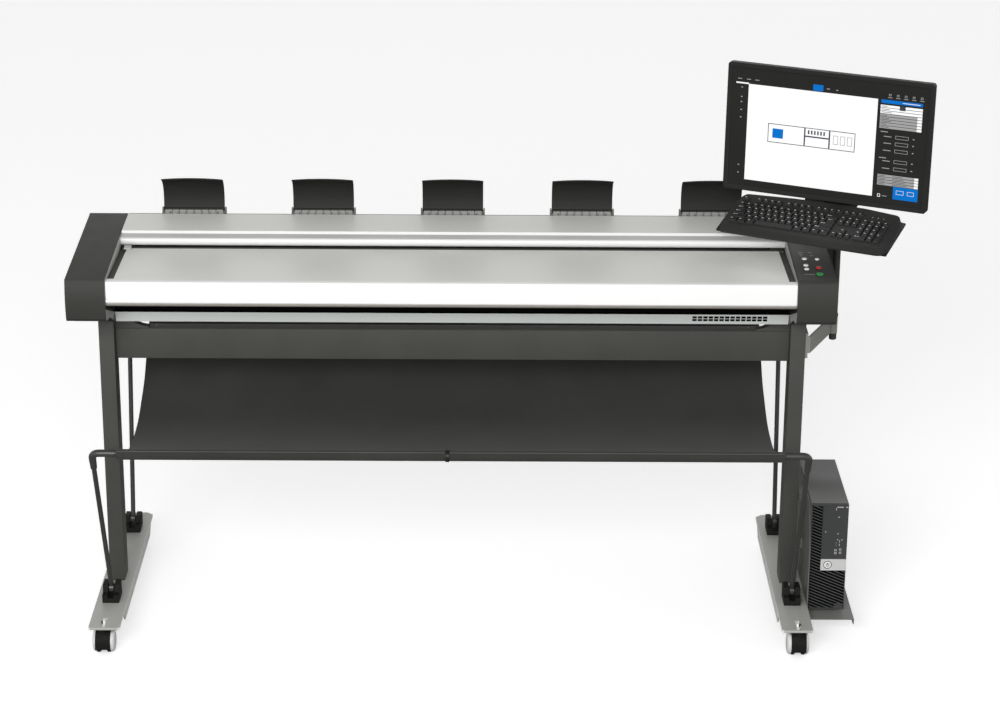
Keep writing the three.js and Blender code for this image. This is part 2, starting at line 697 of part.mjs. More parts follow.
// Keyboard: a wedge-edged slab with blocks of keys.
function keyboard() {
  const outline = [
    [-210, -68], [-202, -78], [204, -78], [215, -66], [220, -30], [218, 62], [210, 80],
    [196, 89], [110, 97], [20, 99.5], [-80, 96], [-196, 86], [-208, 74], [-212, -50],
  ];
  const slab = prism('z', outline, -17.6, -6);
  const blocks = [
    [-196, 96, -50, 26], [-196, 96, 33, 46], [104, 128, -50, -33], [104, 128, 0, 26],
    [136, 200, -50, 26],
  ];
  const rows = blocks.map(([x0, x1, y0, y1]) => box(x0, x1, y0, y1, -7, -0.5));
  return join(slab, rows);
}
place('keyboard', inFrame(keyboard(), keyFrame), BLACK);

// Console mount: clamped to the post, it holds the tray below and the tilt head above.
// Its head frame has the monitor's tilt axis as its origin.
const TILT_DEPTH = -62;
const tiltAxis = new THREE.Vector3(0, 0, TILT_DEPTH).applyMatrix4(monitorFrame);
const headFrame = panelFrame(tiltAxis, CONSOLE_YAW, 0);
function consoleMount() {
  const { x, y, r } = POST;
  const clamp = (z0, z1) => disc('z', x, y, r + 8, z0, z1, 20);
  const toPost = new THREE.Vector3(x, y, tiltAxis.z);
  toPost.applyMatrix4(headFrame.clone().invert());
  const head = inFrame(join(
    box(-34, toPost.x - 6, -18, 18, toPost.z + 8, -15),
    box(-34, -24, -14, 14, -20, 14),
    box(24, 34, -14, 14, -20, 14),
    box(-34, 34, -18, 18, -22, -14),
    box(-14, 14, -190, 10, -22, -14),
    box(-72, 44, -214, -140, -22, -14),
  ), headFrame);
  const trayArm = inFrame(join(
    box(-60, 60, 40, TRAY.back, TRAY_UNDERSIDE - 7, TRAY_UNDERSIDE - GAP),
    box(-14, 70, 66, 168, TRAY_UNDERSIDE - 7, TRAY_UNDERSIDE - GAP),
  ), keyFrame);
  const axle = inFrame(prism('x', ring(0, 0, 5.6, 12), -40, 40), headFrame);
  const body = join(clamp(1074, 1098), clamp(1240, 1284), head, trayArm);
  return cut(body, disc('z', x, y, r + 0.2, 1000, 1400, 20), axle);
}
place('console_mount', consoleMount(), DARK);

// ---------------------------------------------------------------- monitor

const MON_W = MONITOR.width / 2;
const MON_H = MONITOR.height / 2;
const rectangle = (w, h) => [[-w, -h], [w, -h], [w, h], [-w, h]];
const chamfered = (w, h, c) => [
  [-w + c, -h], [w - c, -h], [w, -h + c], [w, h - c], [w - c, h], [-w + c, h], [-w, h - c],
  [-w, -h + c],
];

const bezel = prism('z', chamfered(MON_W, MON_H, 5), -16, 0, [rectangle(MON_W - 12, MON_H - 12)]);
place('monitor_bezel', inFrame(bezel, monitorFrame), CHARCOAL);

const screen = box(-MON_W + 12.4, MON_W - 12.4, -MON_H + 12.4, MON_H - 12.4, -9, -2);
place('monitor_screen', inFrame(screen, monitorFrame), look(0x1b1e22, 0.25, 0.0));

// Back shell: a shallow pan with a raised middle and the tilt lug that takes the pin.
const shell = join(
  prism('z', chamfered(MON_W - 0.5, MON_H - 0.5, 5), -22, -16.4),
  prism('z', chamfered(150, 95, 14), -38, -21),
  box(-22.6, 22.6, -16, 16, TILT_DEPTH + 17, -37),
  box(-22.6, 22.6, -9, 9, TILT_DEPTH - 8, TILT_DEPTH + 18),
  prism('x', ring(0, TILT_DEPTH, 5, 12), -33, 33),
);
place('monitor_shell', inFrame(shell, monitorFrame), CHARCOAL);

export default assembly;
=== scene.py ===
"""Looks of the wide-format scanner station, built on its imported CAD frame.

Shapes are drawn in design millimetres, with x = 0 on the scanner's centre line and z = 0 on
the floor, or in a tilted panel's own millimetres. TO_ROW turns them into the row frame.
"""

import json
import math

import bmesh
import bpy
from mathutils import Matrix, Vector


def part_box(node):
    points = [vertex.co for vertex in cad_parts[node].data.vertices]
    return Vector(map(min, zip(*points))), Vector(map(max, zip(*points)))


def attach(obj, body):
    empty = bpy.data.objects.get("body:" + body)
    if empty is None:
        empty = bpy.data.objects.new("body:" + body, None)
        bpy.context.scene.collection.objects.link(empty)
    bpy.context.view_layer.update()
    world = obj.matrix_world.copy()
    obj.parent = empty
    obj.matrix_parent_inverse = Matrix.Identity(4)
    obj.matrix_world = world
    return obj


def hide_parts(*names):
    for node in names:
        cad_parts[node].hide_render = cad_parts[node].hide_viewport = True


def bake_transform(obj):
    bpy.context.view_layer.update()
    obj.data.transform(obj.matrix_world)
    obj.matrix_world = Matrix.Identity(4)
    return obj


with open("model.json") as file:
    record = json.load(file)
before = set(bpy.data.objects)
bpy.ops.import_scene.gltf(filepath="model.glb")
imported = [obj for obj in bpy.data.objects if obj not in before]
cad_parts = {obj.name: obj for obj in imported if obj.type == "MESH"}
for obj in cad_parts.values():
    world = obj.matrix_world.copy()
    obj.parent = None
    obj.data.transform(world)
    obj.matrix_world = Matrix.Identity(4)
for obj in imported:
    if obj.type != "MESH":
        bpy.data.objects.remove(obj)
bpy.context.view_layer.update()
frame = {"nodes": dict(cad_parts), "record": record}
NODES = frame["nodes"]
BODY_OF = {
    node: body
    for body, nodes in frame["record"]["behaviour"]["bodies"].items()
    for node in nodes
}

# ---- frame

TABLE_FRONT = -255
CHASSIS_BOX, TABLE_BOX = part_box("chassis"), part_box("feed_table")
CENTRE = Vector((
    (CHASSIS_BOX[0].x + CHASSIS_BOX[1].x) / 2, TABLE_BOX[0].y - TABLE_FRONT / 1000, 0,
))
TO_ROW = Matrix.Translation(CENTRE) @ Matrix.Scale(0.001, 4)
FROM_ROW = TO_ROW.inverted()


def design_box(node):
    """Lowest and highest corner of a CAD node, in design millimetres."""
    low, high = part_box(node)
    return FROM_ROW @ low, FROM_ROW @ high


def panel(origin, yaw, tilt):
    """Frame of a tilted panel: local X to the right, Y up the panel, Z out of its face."""
    turn = Matrix.Rotation(math.radians(-yaw), 4, "Z") @ Matrix.Rotation(math.radians(tilt), 4, "X")
    return Matrix.Translation(Vector(origin)) @ turn


# ---- materials


def fill(node, **values):
    """Sets sockets of a node by name, with an underscore for each space."""
    for name, value in values.items():
        node.inputs[name.replace("_", " ")].default_value = value
    return node


def make_material(name, color, roughness, metallic=0.0):
    """A principled material with its node tree, ready for more nodes."""
    material = bpy.data.materials.new(name)
    material.use_nodes = True
    tree = material.node_tree
    shader = tree.nodes["Principled BSDF"]
    fill(shader, Base_Color=(*color, 1), Roughness=roughness, Metallic=metallic)
    material.diffuse_color = (*color, 1)
    return material, tree, shader


def noise(tree, scale, detail, stretch=(1, 1, 1)):
    """The factor of a noise in object space, stretched along the axes."""
    where = tree.nodes.new("ShaderNodeTexCoord")
    mapping = fill(tree.nodes.new("ShaderNodeMapping"), Scale=stretch)
    texture = fill(tree.nodes.new("ShaderNodeTexNoise"), Scale=scale, Detail=detail)
    tree.links.new(where.outputs["Object"], mapping.inputs["Vector"])
    tree.links.new(mapping.outputs["Vector"], texture.inputs["Vector"])
    return texture.outputs["Fac"]


def spread(tree, value, low, high, start=0.3, end=0.7):
    """Maps a noise value from start..end onto low..high."""
    node = tree.nodes.new("ShaderNodeMapRange")
    fill(node, From_Min=start, From_Max=end, To_Min=low, To_Max=high)
    tree.links.new(value, node.inputs["Value"])
    return node.outputs["Result"]


def tint(tree, socket, value, dark, light):
    """Colours a socket between two colours by a value."""
    ramp = tree.nodes.new("ShaderNodeMix")
    ramp.data_type = "RGBA"
    fill(ramp, A=(*dark, 1), B=(*light, 1))
    tree.links.new(value, ramp.inputs["Factor"])
    tree.links.new(ramp.outputs["Result"], socket)


def relief(tree, shader, value, distance, strength):
    """Bumps the surface by a value, distance metres deep."""
    bump = fill(tree.nodes.new("ShaderNodeBump"), Strength=strength, Distance=distance)
    tree.links.new(value, bump.inputs["Height"])
    tree.links.new(bump.outputs["Normal"], shader.inputs["Normal"])


def shade(color, factor):
    return tuple(min(1.0, channel * factor) for channel in color)


def grained(name, color, roughness, metallic=0.0, grain=900, depth=0.00005, mottle=0.08,
            shine=0.5):
    """Moulded plastic or powder coat: fine grain, faint cloudiness and uneven gloss."""
    material, tree, shader = make_material(name, color, roughness, metallic)
    fill(shader, Specular_IOR_Level=shine)
    cloud = spread(tree, noise(tree, 7, 4), 0, 1)
    tint(tree, shader.inputs["Base Color"], cloud, shade(color, 1 - mottle), shade(color, 1 + mottle))
    gloss = spread(tree, noise(tree, 22, 5), roughness - 0.02, min(1.0, roughness + 0.03))
    tree.links.new(gloss, shader.inputs["Roughness"])
    relief(tree, shader, noise(tree, grain, 2), depth, 0.5)
    return material


def brushed(name, color, roughness, metallic, stretch):
    """Anodised or brushed sheet: long fine streaks along one axis."""
    material, tree, shader = make_material(name, color, roughness, metallic)
    streak = noise(tree, 260, 3, stretch)
    dark, light = shade(color, 0.96), shade(color, 1.04)
    tint(tree, shader.inputs["Base Color"], spread(tree, streak, 0, 1), dark, light)
    gloss = spread(tree, streak, roughness - 0.04, roughness + 0.06)
    tree.links.new(gloss, shader.inputs["Roughness"])
    relief(tree, shader, streak, 0.00002, 0.25)
    return material


def woven(name, color, threads):
    """Plain weave of flat threads, with a soft sheen and uneven dye."""
    material, tree, shader = make_material(name, color, 0.9, 0.0)
    where = tree.nodes.new("ShaderNodeTexCoord")
    heights = []
    for axis in ("X", "Y"):
        wave = fill(tree.nodes.new("ShaderNodeTexWave"), Scale=threads, Distortion=0.4)
        wave.bands_direction = axis
        tree.links.new(where.outputs["Object"], wave.inputs["Vector"])
        heights.append(wave.outputs["Fac"])
    weave = tree.nodes.new("ShaderNodeMath")
    weave.operation = "MULTIPLY"
    tree.links.new(heights[0], weave.inputs[0])
    tree.links.new(heights[1], weave.inputs[1])
    cloud = spread(tree, noise(tree, 5, 5), 0, 1)
    tint(tree, shader.inputs["Base Color"], cloud, shade(color, 0.88), shade(color, 1.12))
    relief(tree, shader, weave.outputs[0], 0.0003, 0.5)
    fill(shader, Specular_IOR_Level=0.15, Sheen_Weight=0.12, Sheen_Roughness=0.5)
    return material


def glowing(name, color):
    """A lit patch of the screen, with a faint unevenness of the backlight."""
    material, tree, shader = make_material(name, shade(color, 0.02), 0.35, 0.0)
    fill(shader, Specular_IOR_Level=0.1, Emission_Strength=1.0)
    cloud = spread(tree, noise(tree, 4, 2), 0, 1)
    tint(tree, shader.inputs["Emission Color"], cloud, shade(color, 0.97), color)
    return material


SIDEWAYS, UPRIGHT = (1, 60, 60), (60, 60, 1)

CAP_PLASTIC = grained(
    "cap_plastic", (0.041, 0.041, 0.037), 0.5, mottle=0.03, shine=0.25
)
PANEL_PLASTIC = grained("panel_plastic", (0.034, 0.034, 0.031), 0.4, shine=0.3)
GUIDE_PLASTIC = grained("guide_plastic", (0.017, 0.017, 0.0155), 0.5, shine=0.2)
DARK_PAINT = grained("dark_paint", (0.067, 0.068, 0.061), 0.48, 0.1, shine=0.4)
# Black plastic, also a painted shadow on the caps' inner walls.
BLACK_PLASTIC_AND_SHADOW = grained("black_plastic", (0.010, 0.010, 0.009), 0.45, shine=0.35)
# Mid grey paint, also a painted highlight on the cross-beam's top faces.
MID_PAINT_AND_HIGHLIGHT = grained("mid_paint_and_highlight", (0.14, 0.14, 0.13), 0.45, 0.1, shine=0.4)
# Bracket paint, also a painted highlight on the computer shelf's top faces.
BRACKET_PAINT_AND_HIGHLIGHT = grained("bracket_paint_and_highlight", (0.25, 0.25, 0.235), 0.5, 0.1, shine=0.4)
BLOCK_PLASTIC = grained("block_plastic", (0.011, 0.011, 0.010), 0.6, shine=0.14)
TUBE_PAINT = grained("tube_paint", (0.055, 0.055, 0.051), 0.32, 0.2, shine=0.5)
LIGHT_PAINT = grained("light_paint", (0.50, 0.50, 0.475), 0.42, 0.1, mottle=0.04)
# Near white for the feet's side walls: a painted highlight on the same paint as their tops.
FOOT_SIDE_HIGHLIGHT = grained("foot_side_highlight", (0.90, 0.90, 0.87), 0.42, 0.05, mottle=0.02)
DISC_PLASTIC = grained("disc_plastic", (0.80, 0.80, 0.79), 0.45, mottle=0.02)
LIGHT_PLASTIC = grained("light_plastic", (0.42, 0.42, 0.40), 0.45, mottle=0.04)
TAB_PLASTIC = grained("tab_plastic", (0.26, 0.26, 0.25), 0.5, mottle=0.04)
# White gloss, also used as a painted highlight on the nose's front face and in the slots of the feet.
WHITE_GLOSS_AND_HIGHLIGHT = grained("white_gloss_and_highlight", (0.97, 0.97, 0.96), 0.3, depth=0.000002, mottle=0.004)
ALUMINIUM = brushed("aluminium", (0.90, 0.905, 0.865), 0.45, 0.1, SIDEWAYS)
LID_LIP = brushed("lid_lip", (0.78, 0.78, 0.77), 0.35, 0.05, SIDEWAYS)
BAND_METAL = brushed("band_metal", (0.66, 0.66, 0.65), 0.5, 0.1, SIDEWAYS)
LIP_METAL = brushed("lip_metal", (0.30, 0.285, 0.26), 0.45, 0.5, SIDEWAYS)
FASCIA = brushed("fascia_aluminium", (0.86, 0.90, 0.87), 0.42, 0.15, SIDEWAYS)
STEEL = brushed("steel", (0.55, 0.55, 0.54), 0.35, 0.9, UPRIGHT)
POST_PAINT = brushed("post_paint", (0.045, 0.046, 0.041), 0.45, 0.2, UPRIGHT)
BASKET_CLOTH = woven("basket_cloth", (0.040, 0.040, 0.037), 420)
# A lighter cloth for the sleeve's cord: a painted highlight along the sleeve's top.
PIPING_HIGHLIGHT = woven("piping_highlight", (0.10, 0.10, 0.095), 900)
RUBBER = grained("rubber", (0.014, 0.014, 0.014), 0.75, grain=700, depth=0.0001, shine=0.2)
PC_PAINT = grained("pc_paint", (0.15, 0.15, 0.147), 0.6, 0.1, mottle=0.05)
PC_FRONT = grained("pc_front_plastic", (0.051, 0.052, 0.053), 0.45, shine=0.35)
LOUVRE = grained("louvre_plastic", (0.085, 0.088, 0.091), 0.42, shine=0.4)
# Near black standing for shade: painted shade inside the scanner body, its vents and the gap under
# the nose, between the computer's louvres and in its sockets.
SHADE_BLACK = grained("painted_shade_black", (0.002, 0.002, 0.002), 0.8, shine=0.05)
MONITOR_PLASTIC = grained(
    "monitor_plastic", (0.0145, 0.0145, 0.0138), 0.46, shine=0.18
)
KEY_PLASTIC = grained("key_plastic", (0.015, 0.015, 0.0145), 0.42, shine=0.35)
KEYBOARD_PLASTIC = grained("keyboard_plastic", (0.026, 0.026, 0.0245), 0.5, shine=0.35)
LEGEND = grained("legend_print", (0.55, 0.55, 0.53), 0.5)
SCREEN_DARK = grained("screen_dark", (0.020, 0.020, 0.019), 0.5, depth=0.000005, shine=0.05)
SCREEN_WHITE = glowing("screen_white", (1.0, 1.0, 1.0))
SCREEN_BLUE = glowing("screen_blue", (0.0, 0.17, 0.60))
SCREEN_GREY = glowing("screen_grey", (0.38, 0.38, 0.38))
SCREEN_LINE = glowing("screen_line", (0.05, 0.06, 0.08))
RED_KEY = grained("red_key", (0.60, 0.035, 0.025), 0.3, mottle=0.03)
GREEN_KEY = grained("green_key", (0.02, 0.32, 0.07), 0.3, mottle=0.03)
WHITE_KEY = grained("white_key", (0.88, 0.88, 0.86), 0.3, mottle=0.02)
BOARD = grained("board_green", (0.03, 0.14, 0.06), 0.45, grain=500)

GLASS, glass_tree, glass_shader = make_material("clear_glass", (0.75, 0.85, 0.83), 0.05, 0)
fill(glass_shader, Transmission_Weight=0.85, IOR=1.5)
relief(glass_tree, glass_shader, noise(glass_tree, 9, 2), 0.00002, 0.2)

# ---- mesh helpers


def new_object(name, data):
    """An object in the scene's own collection."""
    made = bpy.data.objects.new(name, data)
    bpy.context.scene.collection.objects.link(made)
    return made


def to_object(name, shape, materials, body=None, node=None, panel_frame=None, smooth=35):
    """Makes a named piece from a mesh in millimetres. It rides on a body, or on its node's, unless
    the body is blended.
    """
    bmesh.ops.recalc_face_normals(shape, faces=shape.faces)
    shape.transform(TO_ROW @ (panel_frame or Matrix.Identity(4)))
    mesh = bpy.data.meshes.new(name)
    shape.to_mesh(mesh)
    shape.free()
    for material in materials:
        mesh.materials.append(material)
    piece = new_object(name, mesh)
    mesh.shade_smooth()
    mesh.set_sharp_from_angle(angle=math.radians(smooth))
    if node:
        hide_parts(node)
    if body != "blended":
        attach(piece, body or BODY_OF[node])
    return piece


def bevel(shape, width, segments, angle=30, pick=None):
    """Rounds the edges sharper than angle degrees, or those that pick accepts."""
    limit = math.radians(angle)
    sharp = [
        edge for edge in shape.edges
        if len(edge.link_faces) == 2 and edge.calc_face_angle(0) > limit
        and (pick is None or pick(edge))
    ]
    bmesh.ops.bevel(
        shape, geom=sharp, offset=width, segments=segments, profile=0.6,
        affect="EDGES", clamp_overlap=True,
    )


def cad_copy(node):
    """The mesh of a CAD node in design millimetres, with its flat faces made whole again."""
    shape = bmesh.new()
    shape.from_mesh(NODES[node].data)
    shape.transform(FROM_ROW)
    bmesh.ops.remove_doubles(shape, verts=shape.verts, dist=0.002)
    bmesh.ops.dissolve_limit(
        shape, angle_limit=math.radians(0.4), verts=shape.verts, edges=shape.edges
    )
    return shape


def softened(node, material, width, segments=2, others=(), choose=None, pick=None, adjust=None):
    """A copy of a CAD node with rounded edges.

    choose gives each face its material's number, pick chooses the edges to round, and adjust
    moves a corner by a little first.
    """
    shape = cad_copy(node)
    for vert in shape.verts if adjust else ():
        adjust(vert.co)
    bevel(shape, width, segments, pick=pick)
    for face in shape.faces:
        face.material_index = choose(face) if choose else 0
    return to_object(f"{node}_skin", shape, [material, *others], node=node, smooth=22)


def rounded(before, here, after, radius, share, steps):
    """The curve that replaces the corner at here. It takes up at most a share of each side."""
    back, ahead = before - here, after - here
    turn = math.pi - back.angle(ahead)
    reach = min(radius * math.tan(turn / 2), back.length * share, ahead.length * share)
    start, end = here + back.normalized() * reach, here + ahead.normalized() * reach
    parts = [step / steps for step in range(steps + 1)]
    return [start * (1 - t) ** 2 + here * 2 * t * (1 - t) + end * t * t for t in parts]


def fillet(points, steps=5):
    """Rounds the corners of a closed outline of (u, v, radius) points."""
    result = []
    for i, (u, v, radius) in enumerate(points):
        here = Vector((u, v))
        before, after = Vector(points[i - 1][:2]), Vector(points[(i + 1) % len(points)][:2])
        straight = math.pi - (before - here).angle(after - here) < 0.02
        if radius <= 0 or straight:
            result.append(here)
        else:
            result += rounded(before, here, after, radius, 0.49, steps)
    return result


def slab(shape, outline, low, high, axis="x", material=0):
    """Adds a closed prism whose outline lies in the two other axes."""
    def at(point, along):
        u, v = point
        return {"x": (along, u, v), "y": (u, along, v), "z": (u, v, along)}[axis]

    near, far = ([shape.verts.new(at(p, along)) for p in outline] for along in (low, high))
    faces = [shape.faces.new(near), shape.faces.new(list(reversed(far)))]
    for i in range(len(outline)):
        j = (i + 1) % len(outline)
        faces.append(shape.faces.new((near[i], near[j], far[j], far[i])))
    for face in faces:
        face.material_index = material


def block(shape, x, y, z, material=0):
    """Adds a box that spans the three (low, high) pairs."""
    outline = [(y[0], z[0]), (y[1], z[0]), (y[1], z[1]), (y[0], z[1])]
    slab(shape, outline, *x, "x", material)


def skin_rings(shape, rings, material=0):
    """Joins rings of points into a tube with closed ends."""
    made = [[shape.verts.new(point) for point in ring] for ring in rings]
    count = len(made[0])
    faces = []
    for one, two in zip(made, made[1:]):
        for k in range(count):
            j = (k + 1) % count
            faces.append(shape.faces.new((one[k], one[j], two[j], two[k])))
    faces.append(shape.faces.new(list(reversed(made[0]))))
    faces.append(shape.faces.new(made[-1]))
    for face in faces:
        face.material_index = material


def circle(centre, side, over, radius, sides):
    """Points on a circle in the plane of two directions."""
    turns = [2 * math.pi * k / sides for k in range(sides)]
    return [centre + (side * math.cos(a) + over * math.sin(a)) * radius for a in turns]


def tube(shape, path, radii, sides):
    """Adds a round tube along a path, with a radius for each point."""
    rings = []
    side = None
    for i, point in enumerate(path):
        along = (path[min(i + 1, len(path) - 1)] - path[max(i - 1, 0)]).normalized()
        if side is None:
            side = along.orthogonal().normalized()
        side = (side - along * side.dot(along)).normalized()
        rings.append(circle(point, side, along.cross(side), radii[i], sides))
    skin_rings(shape, rings)


def lathe(shape, profile, centre, axis, sides, material=0):
    """Spins (distance, radius) points about an axis through centre."""
    along = Vector(axis).normalized()
    side = along.orthogonal().normalized()
    over, middle = along.cross(side), Vector(centre)
    rings = [circle(middle + along * far, side, over, radius, sides) for far, radius in profile]
    skin_rings(shape, rings, material)


def bend(path, radius, steps):
    """Rounds the inner corners of an open path."""
    result = [path[0]]
    for before, here, after in zip(path, path[1:], path[2:]):
        result += rounded(before, here, after, radius, 0.5, steps)
    return [*result, path[-1]]


def curve_through(points, steps):
    """A smooth line through points, by Catmull-Rom."""
    ends = [points[0] * 2 - points[1], *points, points[-1] * 2 - points[-2]]
    line = []
    for a, b, c, d in zip(ends, ends[1:], ends[2:], ends[3:]):
        for step in range(steps):
            t = step / steps
            line.append(
                (b * 2 + (c - a) * t + (a * 2 - b * 5 + c * 4 - d) * t ** 2
                 + (b * 3 - a - c * 3 + d) * t ** 3) / 2
            )
    return [*line, points[-1]]


def thick_line(line, thickness):
    """A closed outline round an open line in a plane."""
    sides = ([], [])
    for i, point in enumerate(line):
        along = (line[min(i + 1, len(line) - 1)] - line[max(i - 1, 0)]).normalized()
        across = Vector((-along.y, along.x)) * thickness / 2
        sides[0].append(point + across)
        sides[1].append(point - across)
    return [*sides[0], *reversed(sides[1])]


def cut_plane(shape, place, direction, geometry=None):
    """Cuts the geometry, or all of it, along a plane."""
    whole = [*shape.verts, *shape.edges, *shape.faces]
    bmesh.ops.bisect_plane(
        shape, geom=geometry or whole, plane_co=place, plane_no=direction, dist=0.01
    )


def mirror(shape):
    """Turns a right-hand mesh into the left-hand one."""
    for vert in shape.verts:
        vert.co.x = -vert.co.x
    bmesh.ops.reverse_faces(shape, faces=shape.faces)


def both_sides(build, materials, node, name):
    """Makes a piece for the right-hand node and its mirror image for the left-hand one."""
    for side in ("right", "left"):
        shape = bmesh.new()
        build(shape)
        if side == "left":
            mirror(shape)
        to_object(f"{name}_{side}", shape, materials, node=f"{node}_{side}")


# ---- camera, floor, light

CAMERA_PLACE = (77.4, -6368.6, 3022.8)
CAMERA_PITCH, CAMERA_YAW, CAMERA_ROLL = 20.18, 0.38, 0.40
CAMERA_LENS, SENSOR = 96.16, 36


def make_camera():
    pitch, yaw, roll = (math.radians(a) for a in (CAMERA_PITCH, CAMERA_YAW, CAMERA_ROLL))
    ahead = Vector((
        math.sin(yaw) * math.cos(pitch), math.cos(yaw) * math.cos(pitch), -math.sin(pitch),
    ))
    right = Vector((math.cos(yaw), -math.sin(yaw), 0))
    up = right.cross(ahead)
    rolled_right = right * math.cos(roll) + up * math.sin(roll)
    rolled_up = up * math.cos(roll) - right * math.sin(roll)
    data = bpy.data.cameras.new("camera")
    data.lens, data.sensor_width = CAMERA_LENS, SENSOR
    data.clip_start, data.clip_end = 0.1, 60
    camera = new_object("camera", data)
    turn = Matrix((rolled_right, rolled_up, -ahead)).transposed().to_4x4()
    camera.matrix_world = Matrix.Translation(TO_ROW @ Vector(CAMERA_PLACE)) @ turn
    bpy.context.scene.camera = camera


def floor_paint():
    """A pale matt floor that looks white and throws little light back up."""
    material, tree, shader = make_material("floor_paint", (0.9, 0.9, 0.9), 0.8)
    fill(shader, Emission_Color=(1, 1, 1, 1))
    ray = tree.nodes.new("ShaderNodeLightPath").outputs["Is Camera Ray"]
    cloud = spread(tree, noise(tree, 3, 2), -0.004, 0.004)
    level = tree.nodes.new("ShaderNodeMath")
    level.operation = "ADD"
    tree.links.new(spread(tree, ray, 0.27, 0.9, 0, 1), level.inputs[0])
    tree.links.new(cloud, level.inputs[1])
    tree.links.new(level.outputs[0], shader.inputs["Base Color"])
    tree.links.new(spread(tree, ray, 0, 0.5, 0, 1), shader.inputs["Emission Strength"])
    return material


def make_floor():
    shape = bmesh.new()
    bmesh.ops.create_grid(shape, x_segments=8, y_segments=8, size=14)
    mesh = bpy.data.meshes.new("floor")
    shape.to_mesh(mesh)
    shape.free()
    mesh.materials.append(floor_paint())
    floor = new_object("floor", mesh)
    floor.location = (0, 0, -0.0005)


SKY_TOP, SKY_SIDE = 0.16, 1.1
LIGHT_PLACE, LIGHT_TARGET = Vector((-1.0, -5.5, 3.2)), Vector((0, 0, 0.8))
LIGHT_SIZE, LIGHT_POWER = (3.2, 1.6), 222


def make_sky():
    """A studio whose walls are bright and whose ceiling is dim; the camera sees plain white."""
    world = bpy.data.worlds.new("studio")
    world.use_nodes = True
    tree = world.node_tree
    background = tree.nodes["Background"]
    where = tree.nodes.new("ShaderNodeTexCoord")
    parts = tree.nodes.new("ShaderNodeSeparateXYZ")
    tree.links.new(where.outputs["Generated"], parts.inputs["Vector"])
    height = spread(tree, parts.outputs["Z"], SKY_SIDE, SKY_TOP, 0.25, 0.75)
    ray = tree.nodes.new("ShaderNodeLightPath")
    seen = fill(tree.nodes.new("ShaderNodeMix"), B=1.0)
    tree.links.new(ray.outputs["Is Camera Ray"], seen.inputs["Factor"])
    tree.links.new(height, seen.inputs["A"])
    tree.links.new(seen.outputs["Result"], background.inputs["Strength"])
    fill(background, Color=(1, 1, 1, 1))
    bpy.context.scene.world = world


def make_light():
    """One wide soft light, high in front."""
    data = bpy.data.lights.new("key", "AREA")
    data.shape = "RECTANGLE"
    data.size, data.size_y = LIGHT_SIZE
    data.energy = LIGHT_POWER
    light = new_object("key", data)
    light.location = LIGHT_PLACE
    light.rotation_euler = (LIGHT_TARGET - LIGHT_PLACE).to_track_quat("-Z", "Y").to_euler()


make_camera()
make_floor()
make_sky()
make_light()
bpy.context.scene.view_settings.view_transform = "Standard"

# ---- stand

SIDE_X, CASTER_SHIFT = 867, 5
CASTER_Y, STEM_X, BEAM_TOP = (-318, 338), 869, 767


def facing_up(limit, level):
    """Gives the second material to faces above a level whose normal points up by a limit."""
    return lambda face: int(face.normal.z > limit and face.calc_center_median().z > level)


def across(scale, shift, cut):
    """Scales a stand part across its own middle, shifts it outward and lowers its top."""
    def adjust(point):
        side = math.copysign(1, point.x)
        point.x = side * (SIDE_X + shift + (abs(point.x) - SIDE_X) * scale)
        if point.z > 120:
            point.z -= cut
    return adjust


def foot_shape(point):
    """A foot is a little wider on its inner side, and its toe is a little shorter."""
    side, beyond = math.copysign(1, point.x), abs(point.x) - SIDE_X
    point.x = side * (SIDE_X + beyond * (1.1 if beyond < 0 else 1.05))
    if point.y < -350:
        point.y += 9


for side in ("left", "right"):
    # The feet's side walls are painted lighter than their tops as a painted highlight.
    softened(
        f"foot_{side}", LIGHT_PAINT, 2.6, 3, [FOOT_SIDE_HIGHLIGHT],
        lambda face: int(abs(face.normal.x) > 0.25), adjust=foot_shape,
    )
    softened(f"leg_{side}", DARK_PAINT, 2.0, 3)
    for end, cut in (("front", 4), ("rear", 7)):
        for node, width, adjust in (
            ("basket_pivot", 1.2, across(1.15, 0, cut)),
            ("caster_hood", 0.8, across(0.66, CASTER_SHIFT, 0)),
        ):
            softened(f"{node}_{end}_{side}", BLOCK_PLASTIC, width, adjust=adjust)
# The beam's upward faces are lighter than its front as a painted highlight.
softened("cross_beam", DARK_PAINT, 1.5, 3, [MID_PAINT_AND_HIGHLIGHT], facing_up(0.9, 766))


def twin_wheels(centre, radius):
    """Two tyres on one axle, each with a bulging light disc on its outer side."""
    def build(shape):
        middle = Vector((SIDE_X + CASTER_SHIFT, centre.y, radius))
        for side in (-1, 1):
            tyre = [
                (8, 8), (8, radius - 2.4), (9.4, radius - 0.5), (11, radius), (15.5, radius),
                (17.2, radius - 0.8), (17.8, radius - 2.4), (17.8, 8),
            ]
            cap = [
                (17, 6), (17, radius - 2.2), (19.5, radius - 1.6), (23.5, radius - 2.4),
                (26.4, radius - 5.5), (27.8, radius - 12), (28.2, 4),
            ]
            lathe(shape, tyre, middle, (side, 0, 0), 56, 0)
            lathe(shape, cap, middle, (side, 0, 0), 56, 1)
        lathe(shape, [(-19, 5), (19, 5)], middle, (1, 0, 0), 16, 0)
    return build


for end in ("front", "rear"):
    low, high = design_box(f"caster_wheels_{end}_right")
    wheels = twin_wheels((low + high) / 2, (high.z - low.z) / 2)
    both_sides(wheels, [RUBBER, DISC_PLASTIC], f"caster_wheels_{end}", f"wheels_{end}")


